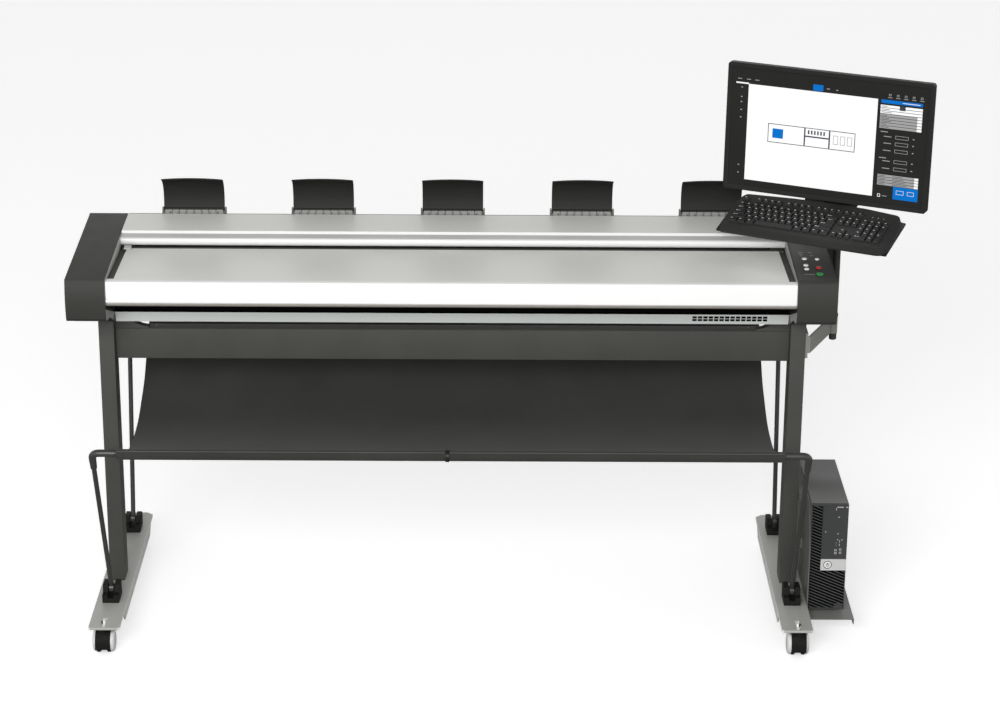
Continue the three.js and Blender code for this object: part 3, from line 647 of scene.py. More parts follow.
def stand_screws():
    """Screws in the beam's top flange, and the casters' stems in the slots of the feet. The stems and
    a plate in each slot are white as a painted highlight.
    """
    shape = bmesh.new()
    head = [(0, 3.4), (1.6, 3.4), (2.4, 2.6), (2.4, 0.2)]
    for side in (-1, 1):
        lathe(shape, head, (side * 747, -12, BEAM_TOP), (0, 0, 1), 20)
        for y in CASTER_Y:
            x = side * STEM_X
            # White plate and stem head: a painted highlight in the slot.
            block(shape, (x - 3.6, x + 3.6), (y - 25, y + 25), (79, 82.4), 1)
            lathe(shape, [(0, 3.2), (8, 3.2), (9, 2.4), (9, 0.2)], (x, y, 80), (0, 0, 1), 20, 1)
    to_object("stand_screws", shape, [STEEL, WHITE_GLOSS_AND_HIGHLIGHT], "stand")


stand_screws()

# ---- catch basket

FRONT_PIVOT, REAR_PIVOT = Vector((SIDE_X, -176, 115)), Vector((SIDE_X, 264, 115))
FRONT_BAR, REAR_BAR = Vector((-393, 573)), Vector((360, 690))
SLEEVE_MIDDLE, SLEEVE_RADIUS = Vector((-393, 569.8)), 12.6
BAR_HALF, SLEEVE_HALF = 811, 808.5
ROD, ELBOW, BAR = 6, 9.2, 8


def arm(shape, pivot, bar):
    """An arm with its eye and pin, and an elbow moulding that turns it into the bar."""
    knee = Vector((SIDE_X, bar.x, bar.y))
    lathe(shape, [(-6, 10.5), (-5.2, 12), (5.2, 12), (6, 10.5)], pivot, (1, 0, 0), 28)
    lathe(shape, [(-12, 3.6), (12, 3.6)], pivot, (1, 0, 0), 20)
    slope = (knee - pivot).normalized()
    tube(shape, [pivot + slope * 8, knee - slope * 40], [ROD, ROD], 20)
    corner = bend([knee - slope * 52, knee, Vector((BAR_HALF, bar.x, bar.y))], 18, 8)
    radii = [ELBOW] * len(corner)
    radii[0] = ELBOW - 1.2
    tube(shape, [corner[0] - slope * 1.5, *corner], [ROD + 0.4, *radii], 24)


both_sides(
    lambda shape: arm(shape, FRONT_PIVOT, FRONT_BAR), [TUBE_PAINT],
    "basket_arm_front", "front_arm",
)


def rear_frame():
    shape = bmesh.new()
    arm(shape, REAR_PIVOT, REAR_BAR)
    mirror(shape)
    arm(shape, REAR_PIVOT, REAR_BAR)
    lathe(shape, [(-BAR_HALF, ELBOW), (BAR_HALF, ELBOW)], (0, *REAR_BAR), (1, 0, 0), 24)
    to_object("rear_frame", shape, [TUBE_PAINT], node="basket_frame_rear")


def front_bar():
    """The front bar, with the coupling that joins its halves outside the sleeve."""
    shape = bmesh.new()
    lathe(shape, [(-BAR_HALF, BAR), (BAR_HALF, BAR)], (0, *FRONT_BAR), (1, 0, 0), 24)
    coupling = [(-4.8, 9), (-4.8, 14.2), (-4, 15), (4, 15), (4.8, 14.2), (4.8, 9)]
    lathe(shape, coupling, (-8.5, *SLEEVE_MIDDLE), (1, 0, 0), 36, 1)
    to_object("front_bar", shape, [TUBE_PAINT, BLACK_PLASTIC_AND_SHADOW], node="basket_bar_front")


rear_frame()
front_bar()

CLOTH = 1.0
SLING = [
    (-374, 555), (-334, 539), (-250, 510), (-151, 491), (-60, 488), (22, 497), (95, 521),
    (170, 552), (225, 594), (290, 644),
]


def sling_line():
    """Section of the cloth: round the front bar, down and up again, round the rear bar."""
    def wrap(bar, radius, start, end, grow):
        points = []
        for t in (i / 26 for i in range(27)):
            a = math.radians(start + (end - start) * t)
            points.append(bar + Vector((math.cos(a), math.sin(a))) * (radius + grow * (t - 0.5)))
        return points

    middle = [Vector(point) for point in SLING]
    front = wrap(SLEEVE_MIDDLE, SLEEVE_RADIUS, 350, 6, 1.6)
    rear = wrap(REAR_BAR, 11.3, 174, -182, -1.6)
    return [*front[:-1], *curve_through([front[-1], *middle, rear[0]], 5), *rear[1:]]


def catch_cloth():
    """The sling, with soft lengthwise ripples and a sag that deepens away from its ends."""
    line = sling_line()
    lengths = [0.0]
    for one, two in zip(line, line[1:]):
        lengths.append(lengths[-1] + (two - one).length)
    stations = 96
    rings = []
    for i in range(stations + 1):
        x = -SLEEVE_HALF + 2 * SLEEVE_HALF * i / stations
        moved = []
        for point, length in zip(line, lengths):
            free = math.sin(math.pi * min(1, max(0, (length - 84) / (lengths[-1] - 168)))) ** 0.8
            part = length / lengths[-1]
            ripple = math.sin(x / 61 + 5 * part) + 0.6 * math.sin(x / 37 - 9 * part + 1.3)
            edge = 1 - (abs(x) / SLEEVE_HALF) ** 6
            sag = 3.0 * (1 - (x / SLEEVE_HALF) ** 2)
            moved.append(point + Vector((0, (0.7 * ripple * edge - sag) * free)))
        rings.append([Vector((x, *p)) for p in thick_line(moved, CLOTH)])
    shape = bmesh.new()
    skin_rings(shape, rings)
    piece = to_object("catch_cloth", shape, [BASKET_CLOTH], "blended", "catch_fabric", smooth=50)
    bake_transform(piece)


def sleeve_highlight_cord():
    """A thin stitched cord along the top of the front sleeve, lighter than the cloth as a painted
    highlight.
    """
    shape = bmesh.new()
    turn = math.radians(125)
    where = SLEEVE_MIDDLE + Vector((math.cos(turn), math.sin(turn))) * (SLEEVE_RADIUS + 1)
    for x0, x1 in ((-SLEEVE_HALF, -14), (-3, SLEEVE_HALF)):
        profile = [(x0, 0.8), (x0 + 1, 1.3), (x1 - 1, 1.3), (x1, 0.8)]
        lathe(shape, profile, (0, *where), (1, 0, 0), 12)
    to_object("sleeve_highlight_cord", shape, [PIPING_HIGHLIGHT], "basket_front")


catch_cloth()
sleeve_highlight_cord()

# ---- scanner body

CAP_INNER, FIN_INNER, FIN_OUTER = 837, 961, 965.3
CAP_FRONT = design_box("end_cap_right")[0].y


def bulge_front(shape):
    """Gives the caps' front face a soft crown."""
    bottom, top, depth = 862, 965, 6.5
    for step in range(1, 12):
        cut_plane(shape, (0, 0, bottom + (top - bottom) * step / 12), (0, 0, 1))
    for vert in shape.verts:
        height = (vert.co.z - bottom) / (top - bottom)
        if vert.co.y < CAP_FRONT + 3 and 0 < height < 1:
            vert.co.y -= depth * math.sin(math.pi * height)


# The corner and the two edges of the light wedge on the caps' inner wall; above its upper edge the
# wall is black as painted shadow.
WEDGE = ((-111, 836), Vector((0, 54, 139)), Vector((0, -21, 139)))
WALL_TOP = 905


def end_cap(side):
    """A cap with a fin beside the post. Its inner wall has a light wedge and a light top; above the
    wedge it is black as a painted shadow, and below it darker grey.
    """
    shape = cad_copy(f"end_cap_{side}")
    bevel(shape, 1.2, 2)
    bulge_front(shape)
    for vert in shape.verts:
        if vert.co.x > FIN_INNER:
            vert.co.x = FIN_OUTER

    def inner_wall():
        return [
            face for face in shape.faces
            if abs(abs(face.calc_center_median().x) - CAP_INNER) < 0.5 and abs(face.normal.x) > 0.9
        ]

    corner, over, under = WEDGE
    for place, direction in ((corner, over), (corner, under), ((0, WALL_TOP), (0, 0, 1))):
        faces = inner_wall()
        edges = {edge for face in faces for edge in face.edges}
        verts = {vert for face in faces for vert in face.verts}
        cut_plane(shape, (0, *place), direction, [*faces, *edges, *verts])
    # Black above the wedge is painted shadow; the wall below the wedge is darker grey.
    for face in inner_wall():
        middle = face.calc_center_median()
        offset = middle - Vector((middle.x, *corner))
        if middle.z > WALL_TOP:
            face.material_index = 1
        elif offset.dot(over) > 0:
            face.material_index = 2
        else:
            face.material_index = 1 if offset.dot(under) > 0 else 3
    materials = [CAP_PLASTIC, LIGHT_PLASTIC, BLACK_PLASTIC_AND_SHADOW, DARK_PAINT]
    to_object(f"end_cap_{side}_skin", shape, materials, node=f"end_cap_{side}", smooth=22)


end_cap("left")
end_cap("right")


FASCIA_BACK, WALL_OUTSIDE = -96.5, 213
VENT_ENDS, VENT_ROWS, VENT_GROWTH = (590, 800), (818.3, 826.7), 0.28


def chassis_face(face):
    """The raked fascia is bare aluminium, the outside of the back wall is light; all other faces are
    black as painted shade, for the gap under the nose and the vent slots.
    """
    y = face.calc_center_median().y
    if face.normal.y < -0.5 and y < FASCIA_BACK:
        return 1
    return 2 if face.normal.y > 0.5 and y > WALL_OUTSIDE else 0


def open_vents(point):
    """Makes the two rows of cooling slots a little taller."""
    if VENT_ENDS[0] < point.x < VENT_ENDS[1] and point.y < FASCIA_BACK + 1.5:
        for middle in VENT_ROWS:
            if abs(point.z - middle) < 3:
                point.z += VENT_GROWTH * (point.z - middle)


# Every chassis face but the fascia and the back wall is black as painted shade.
softened(
    "chassis", SHADE_BLACK, 0.5, 2, [FASCIA, LIGHT_PLASTIC], chassis_face,
    lambda edge: edge.calc_length() > 30, open_vents,
)

TABLE_HALF, NOSE_HALF = 819, 836.4
NOSE_FRONT, LIP_TOP = -241, 909


def feed_table():
    """Table and nose are one bent sheet: silver on top, a darker lower lip, and a front face painted
    white as a painted highlight.
    """
    table = bmesh.new()
    slab(table, fillet([(28, 957, 0.6), (-229, 962.3, 0), (-229, 959.3, 0), (28, 954, 0.6)]),
         -TABLE_HALF, TABLE_HALF)
    to_object("table_top", table, [ALUMINIUM], node="feed_table")
    nose = bmesh.new()
    slab(nose, fillet([
        (-229, 962.3, 0), (-241, 962.6, 0), (-251.5, 961.6, 4), (-255, 957, 4), (-255, 911, 1),
        (-251.5, 907, 0.6), (-254.6, 904.6, 1), (-253.6, 901.4, 1), (-249, 899, 2), (-229, 898, 0.4),
        (-229, 900.4, 0.4), (-245, 902, 2), (-249.6, 906, 2), (-252.4, 912, 2), (-252.4, 955, 2),
        (-248, 958.8, 2), (-229, 959.3, 0),
    ]), -NOSE_HALF, NOSE_HALF)
    for face in nose.faces:
        middle = face.calc_center_median()
        if middle.z < LIP_TOP:
            face.material_index = 2
        # The nose's front face is painted white as a painted highlight.
        elif abs(face.normal.x) < 0.5 and middle.y < NOSE_FRONT:
            face.material_index = 1
    to_object("table_nose", nose, [ALUMINIUM, WHITE_GLOSS_AND_HIGHLIGHT, LIP_METAL], "stand")


feed_table()

LID_HALF = 836.2
STRIP_BACK, BAND_BACK, BAND_FRONT, UNDERSIDE = 72, 66, 39.8, 962.5


def scan_lid():
    """Lid: white rounded lip, grey inset band, white chamfer and a silver top."""
    shape = bmesh.new()
    slab(shape, fillet([
        (41, 961.6, 3), (206.5, 962, 1), (206.5, 988.5, 3), (203, 994.5, 3), (72, 990, 0.6),
        (66, 984.5, 0.4), (39.8, 981.6, 0.6), (36.2, 979, 4), (35, 973, 5), (35.8, 967.6, 4),
        (38.6, 963.4, 3),
    ]), -LID_HALF, LID_HALF)
    for face in shape.faces:
        middle = face.calc_center_median()
        outside = abs(face.normal.x) < 0.5 and middle.z > UNDERSIDE
        if outside and middle.y < BAND_FRONT:
            face.material_index = 3
        elif outside and BAND_BACK < middle.y < STRIP_BACK:
            face.material_index = 1
        elif BAND_FRONT < middle.y < BAND_BACK and middle.z > UNDERSIDE:
            face.material_index = 2
    materials = [ALUMINIUM, WHITE_GLOSS_AND_HIGHLIGHT, BAND_METAL, LID_LIP]
    to_object("scan_lid_skin", shape, materials, node="scan_lid")


def edge_stops():
    """The small rounded stop at the table's left end, just in front of the lid."""
    shape = bmesh.new()
    stop = fillet([(14, 957.5, 1), (29, 957.5, 1), (29, 963, 4), (24, 967, 5), (14, 961, 4)])
    slab(shape, stop, -825, -807.5)
    bevel(shape, 2.4, 4)
    to_object("edge_stop", shape, [LIGHT_PLASTIC], "stand")


scan_lid()
edge_stops()

# ---- rear cover and paper guides

GUIDE_PITCH, GUIDE_SHIFT, GUIDE_WIDTH = 332.5, -3, 156
HINGE_Y, HINGE_Z = 222, 1001.5
TAB_PITCH, TABS = 20.3, 8

softened("rear_cover", DARK_PAINT, 0.5, 2, [MID_PAINT_AND_HIGHLIGHT], facing_up(-2, 993))


def comb_tabs():
    """A comb of moulded tabs in front of each paper guide."""
    shape = bmesh.new()
    for guide in range(-2, 3):
        middle = guide * GUIDE_PITCH + GUIDE_SHIFT
        for tab in range(TABS):
            x = middle + (tab - (TABS - 1) / 2) * TAB_PITCH * 0.92
            outline = fillet([(-8.6, 989, 0), (8.6, 989, 0), (8.6, 1003, 1.5), (-8.6, 1003, 1.5)])
            slab(shape, [(x + u, v) for u, v in outline], 209.5, 213, "y")
    bevel(shape, 0.4, 2)
    to_object("comb_tabs", shape, [TAB_PLASTIC], "stand")


def paper_guide(number):
    """A thin blade on a hinge pin. It curls forward, and its top edge is a shallow arch."""
    middle = (number - 3) * GUIDE_PITCH + GUIDE_SHIFT
    half = GUIDE_WIDTH / 2
    points = [
        (222, 1002.5), (224, 1014), (225, 1034), (220, 1056), (208, 1075), (189, 1090), (167, 1099),
    ]
    line = curve_through([Vector(point) for point in points], 4)
    rings = []
    stations = 28
    for i in range(stations + 1):
        u = -1 + 2 * i / stations
        arch = 1 - 0.012 * u * u - 0.035 * abs(u) ** 9
        count = len(line) - 1
        part = [line[0]]
        for k in range(1, count + 1):
            low = min(int(k * arch), count - 1)
            drop = Vector((0, 3 * (u * k / count) ** 2))
            part.append(line[low].lerp(line[low + 1], k * arch - low) - drop)
        rings.append([Vector((middle + u * half, *p)) for p in thick_line(part, 2.6)])
    shape = bmesh.new()
    skin_rings(shape, rings)
    bevel(shape, 0.7, 2, 50)
    hinge = (middle, HINGE_Y, HINGE_Z)
    barrel = [(-half, 3.6), (-half + 0.8, 4.4), (half - 0.8, 4.4), (half, 3.6)]
    lathe(shape, barrel, hinge, (1, 0, 0), 24)
    lathe(shape, [(-half - 4, 1.9), (half + 4, 1.9)], hinge, (1, 0, 0), 16)
    to_object(f"guide_blade_{number}", shape, [GUIDE_PLASTIC], node=f"paper_guide_{number}")


comb_tabs()
for number in range(1, 6):
    paper_guide(number)

# ---- control panel

RISE = 27.5 / 455
SLOPE = panel((885, -120, 968 + (-120 + 253) * RISE), 0, math.degrees(math.atan(RISE)))
BUTTONS = {
    "button_feed": (869, -97, 6.4, WHITE_KEY), "button_eject": (900, -99, 5.4, WHITE_KEY),
    "button_copy": (868, -140, 6.2, WHITE_KEY), "button_store": (867.5, -165, 6.2, WHITE_KEY),
    "button_stop": (898, -156, 6.6, RED_KEY), "button_start": (896, -198, 8.6, GREEN_KEY),
}


def control_panel():
    """A thin membrane with rounded corners, let into the right cap's sloping top."""
    shape = bmesh.new()
    outline = fillet([(-44, -120, 6), (46, -120, 6), (46, 150, 6), (-44, 150, 6)], 6)
    slab(shape, outline, 0.1, 0.35, "z", 0)
    for x, y, wide in ((-22, 66, 13), (2, 66, 11), (-22, 54, 9), (4, 46, 8), (-22, 44, 6)):
        block(shape, (x - wide / 2, x + wide / 2), (y - 0.8, y + 0.8), (0.2, 0.5), 1)
    block(shape, (-26, -1), (-78.6, -77.6), (0.2, 0.5), 1)
    to_object("control_membrane", shape, [PANEL_PLASTIC, LEGEND], "stand", panel_frame=SLOPE)


def key_cap(node, x, y, radius, material):
    """A low round domed key."""
    shape = bmesh.new()
    profile = [
        (-5, radius * 0.7), (0.2, radius * 0.98), (1.6, radius), (2.3, radius * 0.93),
        (2.7, radius * 0.7), (2.85, radius * 0.1),
    ]
    origin = Vector((x - 885, y + 120, 0))
    lathe(shape, profile, origin, (0, 0, 1), 36)
    if material is GREEN_KEY:
        arrow = [(-2.4, -3.2), (3.6, 0), (-2.4, 3.2)]
        slab(shape, [(origin.x + u, origin.y + v) for u, v in arrow], 2.5, 3.2, "z", 1)
    to_object(f"{node}_cap", shape, [material, DARK_PAINT], node=node, panel_frame=SLOPE)


control_panel()
for node, (x, y, radius, material) in BUTTONS.items():
    key_cap(node, x, y, radius, material)

# ---- computer

PC_LOW, PC_HIGH = design_box("pc_bezel")
CASE_BACK = design_box("pc_case")[1].y


def deepen(point):
    """The case's rolled back edge stands a little further out than its flat back."""
    if point.y > CASE_BACK - 1:
        point.y += 6


# The shelf's upward faces are lighter as a painted highlight.
softened("pc_shelf", MID_PAINT_AND_HIGHLIGHT, 0.6, 2, [BRACKET_PAINT_AND_HIGHLIGHT], facing_up(0.9, 0))
softened("pc_case", PC_PAINT, 1.2, 2, adjust=deepen)


def cut_outline(outline, axis, limit, keep):
    """Keeps the part of a convex outline on one side of a line along an axis."""
    result = []
    for one, two in zip(outline, [*outline[1:], *outline[:1]]):
        a, b = keep * (one[axis] - limit), keep * (two[axis] - limit)
        if a >= 0:
            result.append(one)
        if a * b < 0:
            t = a / (a - b)
            result.append(tuple(u + (v - u) * t for u, v in zip(one, two)))
    return result


def pc_front():
    """Front of the computer: slanted louvres, a smooth upper panel and a silver band."""
    x0, x1, y0, z0, z1 = PC_LOW.x, PC_HIGH.x, PC_LOW.y, PC_LOW.z, PC_HIGH.z
    split = x0 + 0.305 * (x1 - x0)
    band_low, band_high = z0 + 108, z0 + 139
    shape = bmesh.new()
    # The black plate behind the louvres is painted shade between the slats.
    frame_outline = fillet([(x0, z0, 3), (x1, z0, 3), (x1, z1, 3), (x0, z1, 3)])
    slab(shape, frame_outline, y0 + 5.4, y0 + 8, "y", 2)
    for x, z in (
        ((x0, x0 + 1.8), (z0 + 1, z1 - 1)), ((x1 - 1.4, x1), (z0 + 1, z1 - 1)),
        ((x0, x1), (z1 - 4, z1)), ((x0, x1), (z0, z0 + 3)),
    ):
        block(shape, x, (y0 + 0.4, y0 + 6), z)
    block(shape, (split, x1 - 1.6), (y0 + 0.2, y0 + 6), (band_high + 1, z1 - 3), 0)
    block(shape, (split, x1 - 0.4), (y0 - 0.2, y0 + 6), (band_low, band_high), 3)
    pitch, slat, slope = 8.2, 2.0, 0.42

    def louvres(left, right, low, high):
        """Slanted slats cut to a rectangle; all of them lie on one set of slanted lines."""
        corners = [(0, left, 1), (0, right, -1), (1, low, 1), (1, high, -1)]
        for k in range(70):
            z = z0 + k * pitch
            ends = ((x0, z), (x1, z - slope * (x1 - x0)))
            outline = [*ends, *((x, end + slat) for x, end in reversed(ends))]
            for axis, limit, keep in corners:
                outline = cut_outline(outline, axis, limit, keep)
            if len(outline) > 2:
                slab(shape, outline, y0 + 0.6, y0 + 2.6, "y", 1)

    louvres(x0 + 1, x1 - 1, z0 + 2, band_low - 3)
    louvres(x0 + 1, split + 1, band_low - 3, z1 - 3)
    block(shape, (x1 - 24, x1 - 3), (y0 + 0.2, y0 + 4), (z0 + 3, z0 + 15), 0)
    for x, z, wide, tall in (
        (38, 11, 1.6, 6), (30, 31, 3.4, 2.4), (62, 68, 2, 3), (31, 73, 2.4, 2.4), (31, 88, 2.4, 2.4),
        (20, 88, 2.4, 2.4), (26, 92, 1.4, 6), (26, 101, 1.4, 6), (34, 96, 1, 2), (34, 102, 1, 2),
    ):
        port(shape, x1 - x + 6.5, z1 - 1.09 * z, wide, tall)
    for x, z in ((16.5, 123), (16.5, 132), (28.5, 125), (28.5, 133)):
        port(shape, x1 - x, z1 - z, 5.4, 5.4)
    for k in (0, 1, 2, 4):
        port(shape, x1 - 27 + 5.6 * k, z1 - 6.6, 4.8, 2.6)
    bevel(shape, 0.35, 1, 40)
    materials = [PC_FRONT, LOUVRE, SHADE_BLACK, BAND_METAL, LEGEND]
    to_object("pc_front", shape, materials, node="pc_bezel")


def port(shape, x, z, wide, tall):
    """A small pale mark on the computer's front; a wide one is a socket's light outline round a black
    middle, painted shade in the socket.
    """
    y = PC_LOW.y
    block(shape, (x - wide / 2, x + wide / 2), (y - 0.2, y + 1), (z - tall / 2, z + tall / 2), 4)
    if min(wide, tall) > 4:
        half_x, half_z = wide / 2 - 1.2, tall / 2 - 1.2
        block(shape, (x - half_x, x + half_x), (y - 0.3, y + 1), (z - half_z, z + half_z), 2)


def power_button():
    """A round light button in a dark ring, with a small plain bar on it."""
    low, high = design_box("pc_power_button")
    x, z = (low.x + high.x) / 2, (low.z + high.z) / 2
    shape = bmesh.new()
    ring = [(-2, 10.6), (0.6, 10.6), (1.0, 10.2), (1.0, 9.4), (0.2, 9.2), (-2, 9.2)]
    lathe(shape, ring, (x, PC_LOW.y, z), (0, -1, 0), 40, 1)
    disc = [(-2, 9), (0.4, 9), (0.9, 8.3), (0.95, 0.3)]
    lathe(shape, disc, (x, PC_LOW.y, z), (0, -1, 0), 40, 0)
    glyph = [(0.9, 4.4), (1.15, 4.4), (1.15, 3.2), (0.9, 3.2)]
    lathe(shape, glyph, (x, PC_LOW.y, z), (0, -1, 0), 32, 1)
    block(shape, (x - 0.7, x + 0.7), (PC_LOW.y - 1.2, PC_LOW.y), (z - 0.5, z + 5.2), 1)
    to_object("power_cap", shape, [WHITE_KEY, BLACK_PLASTIC_AND_SHADOW], node="pc_power_button")


pc_front()
power_button()

# ---- console

softened("console_bracket", BRACKET_PAINT_AND_HIGHLIGHT, 0.8, 2)
softened("console_mount", BLACK_PLASTIC_AND_SHADOW, 1.0, 2)
softened("keyboard_tray", BLACK_PLASTIC_AND_SHADOW, 1.2, 2)
softened("monitor_bezel", MONITOR_PLASTIC, 0.6, 2)
softened("monitor_shell", MONITOR_PLASTIC, 2.0, 3)


def console_post():
    low, high = design_box("console_post")
    x, y = (low.x + high.x) / 2, (low.y + high.y) / 2
    radius, shoulder = 9.7, (high.x - low.x) / 2
    shape = bmesh.new()
    profile = [
        (low.z, radius - 1.5), (low.z + 1.5, radius), (762.3, radius), (762.3, shoulder),
        (770, shoulder), (770, radius), (high.z - 1.5, radius), (high.z, radius - 1.5),
    ]
    lathe(shape, profile, (x, y, 0), (0, 0, 1), 40)
    to_object("console_post_skin", shape, [POST_PAINT], node="console_post")


console_post()

KEYBOARD = panel((885, -60, 1063.5), 27.5, 17)
UNIT, KEY_LEFT, KEY_BOTTOM = 17.65, -204.5, -44
NAVIGATION, PAD = 15.2, 18.45
KEY_ROWS = [
    [1.3, 1.3, 1.3, 5.8, 1.3, 1.3, 1.3, 1.4],
    [2.25, *[1] * 10, 2.75],
    [1.75, *[1] * 11, 2.25],
    [1.5, *[1] * 12, 1.5],
    [*[1] * 13, 2],
]
FUNCTION_KEYS = [0, *range(2, 6), *(6.5 + i for i in range(4)), *(11 + i for i in range(4))]
FUNCTION_Y, FUNCTION_DEPTH = 57, 13


def key(shape, x, y, width, depth):
    """One key: a tapered cap with a small pale mark in its upper left corner."""
    gap, taper, foot, top = 0.9, 2.0, -7, -0.4
    rings = []
    for z, inset in ((foot, gap), (top - 1, gap + taper * 0.8), (top, gap + taper + 0.5)):
        rings.append([
            Vector((x + inset, y + inset, z)), Vector((x + width - inset, y + inset, z)),
            Vector((x + width - inset, y + depth - inset * 0.8, z)),
            Vector((x + inset, y + depth - inset * 0.8, z)),
        ])
    skin_rings(shape, rings, 0)
    mark_x, mark_y, mark_z = x + 4.6, y + depth - 6.8, (top - 0.2, top + 0.05)
    if width < 80:
        block(shape, (mark_x, mark_x + 4.2), (mark_y, mark_y + 3), mark_z, 1)
    if 1.4 * UNIT < width < 80:
        block(shape, (mark_x + 5, mark_x + 11), (mark_y + 0.8, mark_y + 2.2), mark_z, 1)


def key_block():
    """All keys: main block, function row, cursor block and number pad."""
    shape = bmesh.new()

    def place(column, row, wide=1, deep=1):
        x, y = KEY_LEFT + column * UNIT, KEY_BOTTOM + row * UNIT
        key(shape, x, y, wide * UNIT, deep * UNIT)

    for row, widths in enumerate(KEY_ROWS):
        column = 0
        for width in widths:
            place(column, row, width)
            column += width
    for column in (*FUNCTION_KEYS, *(NAVIGATION + i for i in range(3))):
        key(shape, KEY_LEFT + column * UNIT, FUNCTION_Y, UNIT, FUNCTION_DEPTH)
    for column in range(3):
        for row in (0, 3, 4):
            place(NAVIGATION + column, row)
        for row in range(1, 5):
            place(PAD + column, row)
    place(NAVIGATION + 1, 1)
    for spot in ((0, 0, 2), (2, 0), (3, 4), (3, 0, 1, 2), (3, 2, 1, 2)):
        place(PAD + spot[0], *spot[1:])
    for light in range(3):
        x = KEY_LEFT + UNIT * (PAD + 0.9 + light * 0.8)
        block(shape, (x, x + 2.4), (FUNCTION_Y + 6, FUNCTION_Y + 8.4), (-6.2, -5.4), 1)
    to_object("keys", shape, [KEY_PLASTIC, LEGEND], "console", panel_frame=KEYBOARD)


def keyboard_body():
    """A slab with rounded corners and a palm rest that rolls down toward the front."""
    shape = bmesh.new()
    outline = fillet([
        (-215, -78, 10), (213, -78, 24), (221, -30, 60), (215, 56, 26), (199, 87, 20), (110, 97, 200),
        (20, 99.5, 200), (-80, 96, 200), (-204, 86, 12), (-212, 72, 14), (-216, -20, 60),
    ], 6)
    slab(shape, outline, -17.6, -5.4, "z")
    bevel(shape, 3.4, 4, 40, lambda edge: all(vert.co.z > -6 for vert in edge.verts))
    for y in (-48, -52, -56, -60, -64, -68, -72, -75):
        cut_plane(shape, (0, y, 0), (0, 1, 0))
    for vert in shape.verts:
        if vert.co.y < -47 and vert.co.z > -16:
            vert.co.z -= 7.5 * ((-47 - vert.co.y) / 31) ** 2 * (vert.co.z + 17.6) / 12.2
    to_object("keyboard_body", shape, [KEYBOARD_PLASTIC], node="keyboard", panel_frame=KEYBOARD)


keyboard_body()
key_block()

MONITOR = panel((920.8, 0, 1262.6), 25, 90 - 1.9)
SCREEN_HALF = (251.6, 149.6)


def screen():
    """The panel's dark glass, flush with the bezel."""
    shape = bmesh.new()
    w, h = SCREEN_HALF
    slab(shape, [(-w, -h), (w, -h), (w, h), (-w, h)], -2.2, -0.25, "z")
    bevel(shape, 0.15, 1)
    to_object("screen_glass", shape, [SCREEN_DARK], node="monitor_screen", panel_frame=MONITOR)


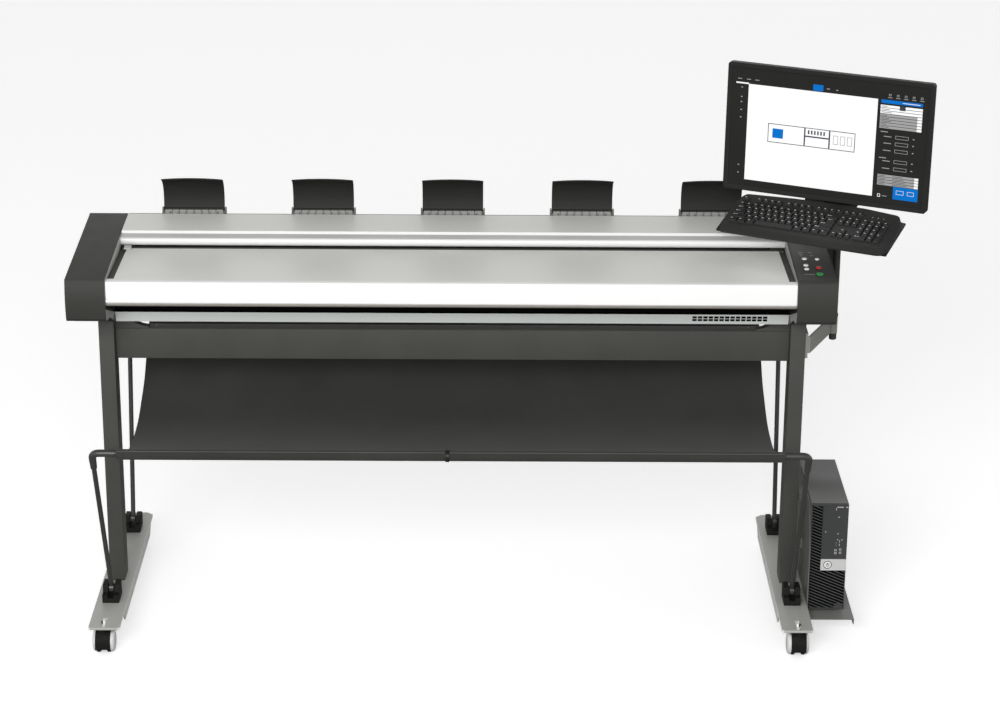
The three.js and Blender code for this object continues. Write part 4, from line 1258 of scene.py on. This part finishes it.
def picture():
    """What the screen shows: a plain drawing program with a floor plan on its sheet."""
    shape = bmesh.new()
    white, blue, grey, line = range(4)

    def patch(x0, x1, y0, y1, paint, lift=0.0):
        block(shape, (x0, x1), (y0, y1), (-0.3, -0.1 + lift), paint)

    def outline_box(x0, x1, y0, y1, wide, paint, lift=0.0):
        patch(x0, x1, y0, y0 + wide, paint, lift)
        patch(x0, x1, y1 - wide, y1, paint, lift)
        patch(x0, x0 + wide, y0, y1, paint, lift)
        patch(x1 - wide, x1, y0, y1, paint, lift)

    for spot in (
        (-207.7, 125.4, -133, 111, white), (-241, -207.7, 110.1, 113.6, white),
        (-41, -15, 113.4, 128.5, blue), (-6, 2, 120, 122, grey), (18, 23, 119, 121, grey),
        (134, 238, 102.5, 111, blue), (188, 232, 106, 107.4, white, 0.02),
        (181, 196, 88, 98, line, 0.03), (178, 240.9, -134.8, -103.4, blue, 0.03),
        (151, 163, -130, -128.6, grey), (-140, -112, -18, 6, blue, 0.02),
    ):
        patch(*spot)
    for x in (-237, -214, -192):
        patch(x, x + 11, 121.6, 123.2, grey)
    for y in (101, 77, 64, 44, 25, -97, -117):
        patch(-227, -223, y - 1.2, y + 1.2, grey)
    for row in range(8):
        top = 98 - row * 7.4
        patch(133, 238.7, top - 6.1, top, white if row < 3 else grey)
        patch(136, 136 + 14 + 6 * (row % 3), top - 3.8, top - 2.4, line, 0.02)
        patch(227, 238.7, top - 6.1, top, white, 0.02)
    for y in (31.6, -33.7):
        patch(137, 155, y - 1, y + 1, grey)
    for y in (20.3, 3.4, -14.5, -41, -59.4):
        outline_box(175, 208, y - 4.2, y + 4.2, 0.9, grey)
        patch(146, 165, y - 0.9, y + 0.9, grey)
        patch(219, 223, y - 1.2, y + 1.2, grey)
    for row in range(4):
        top = -75.6 - row * 7
        patch(136.5, 239.7, top - 5.7, top, grey)
        patch(139, 156, top - 3.6, top - 2.2, line, 0.02)
        patch(174, 200 + 4 * row, top - 3.6, top - 2.2, line, 0.02)
        patch(230, 239.7, top - 5.7, top, white, 0.02)
    outline_box(186, 205, -122, -112, 0.8, white, 0.06)
    outline_box(214, 231, -122, -112, 0.8, white, 0.06)
    outline_box(139, 146, -133, -125, 1.2, white)
    for k in range(5):
        x = 152 + 20 * k
        outline_box(x, x + 6, 121, 126, 1.0, grey)
        patch(x - 2, x + 9, 116.4, 117.8, grey)

    for room in ((-152, -56, -30, 18), (-56, 8, -30, -4), (8, 74, -30, 18), (-56, 8, -4, 18)):
        outline_box(*room, 1.8, line, 0.02)
    for k in range(6):
        patch(-48 + k * 8, -44 + k * 8, 2, 12, line, 0.02)
    for k in range(3):
        outline_box(18 + k * 18, 30 + k * 18, -16, 6, 0.9, line, 0.02)
    materials = [SCREEN_WHITE, SCREEN_BLUE, SCREEN_GREY, SCREEN_LINE]
    to_object("screen_picture", shape, materials, "monitor", panel_frame=MONITOR)


screen()
picture()

# ---- CAD nodes shown as they are

SHOWN = {
    "platen": DARK_PAINT, "scan_glass": GLASS, "optics_bar": BLACK_PLASTIC_AND_SHADOW,
    "feed_roller_front": RUBBER, "feed_roller_rear": RUBBER, "drive_motor": STEEL,
    "motor_pulley": STEEL, "drive_belt": RUBBER, "control_board": BOARD,
}
for node, material in SHOWN.items():
    mesh = NODES[node].data
    mesh.materials.clear()
    mesh.materials.append(material)
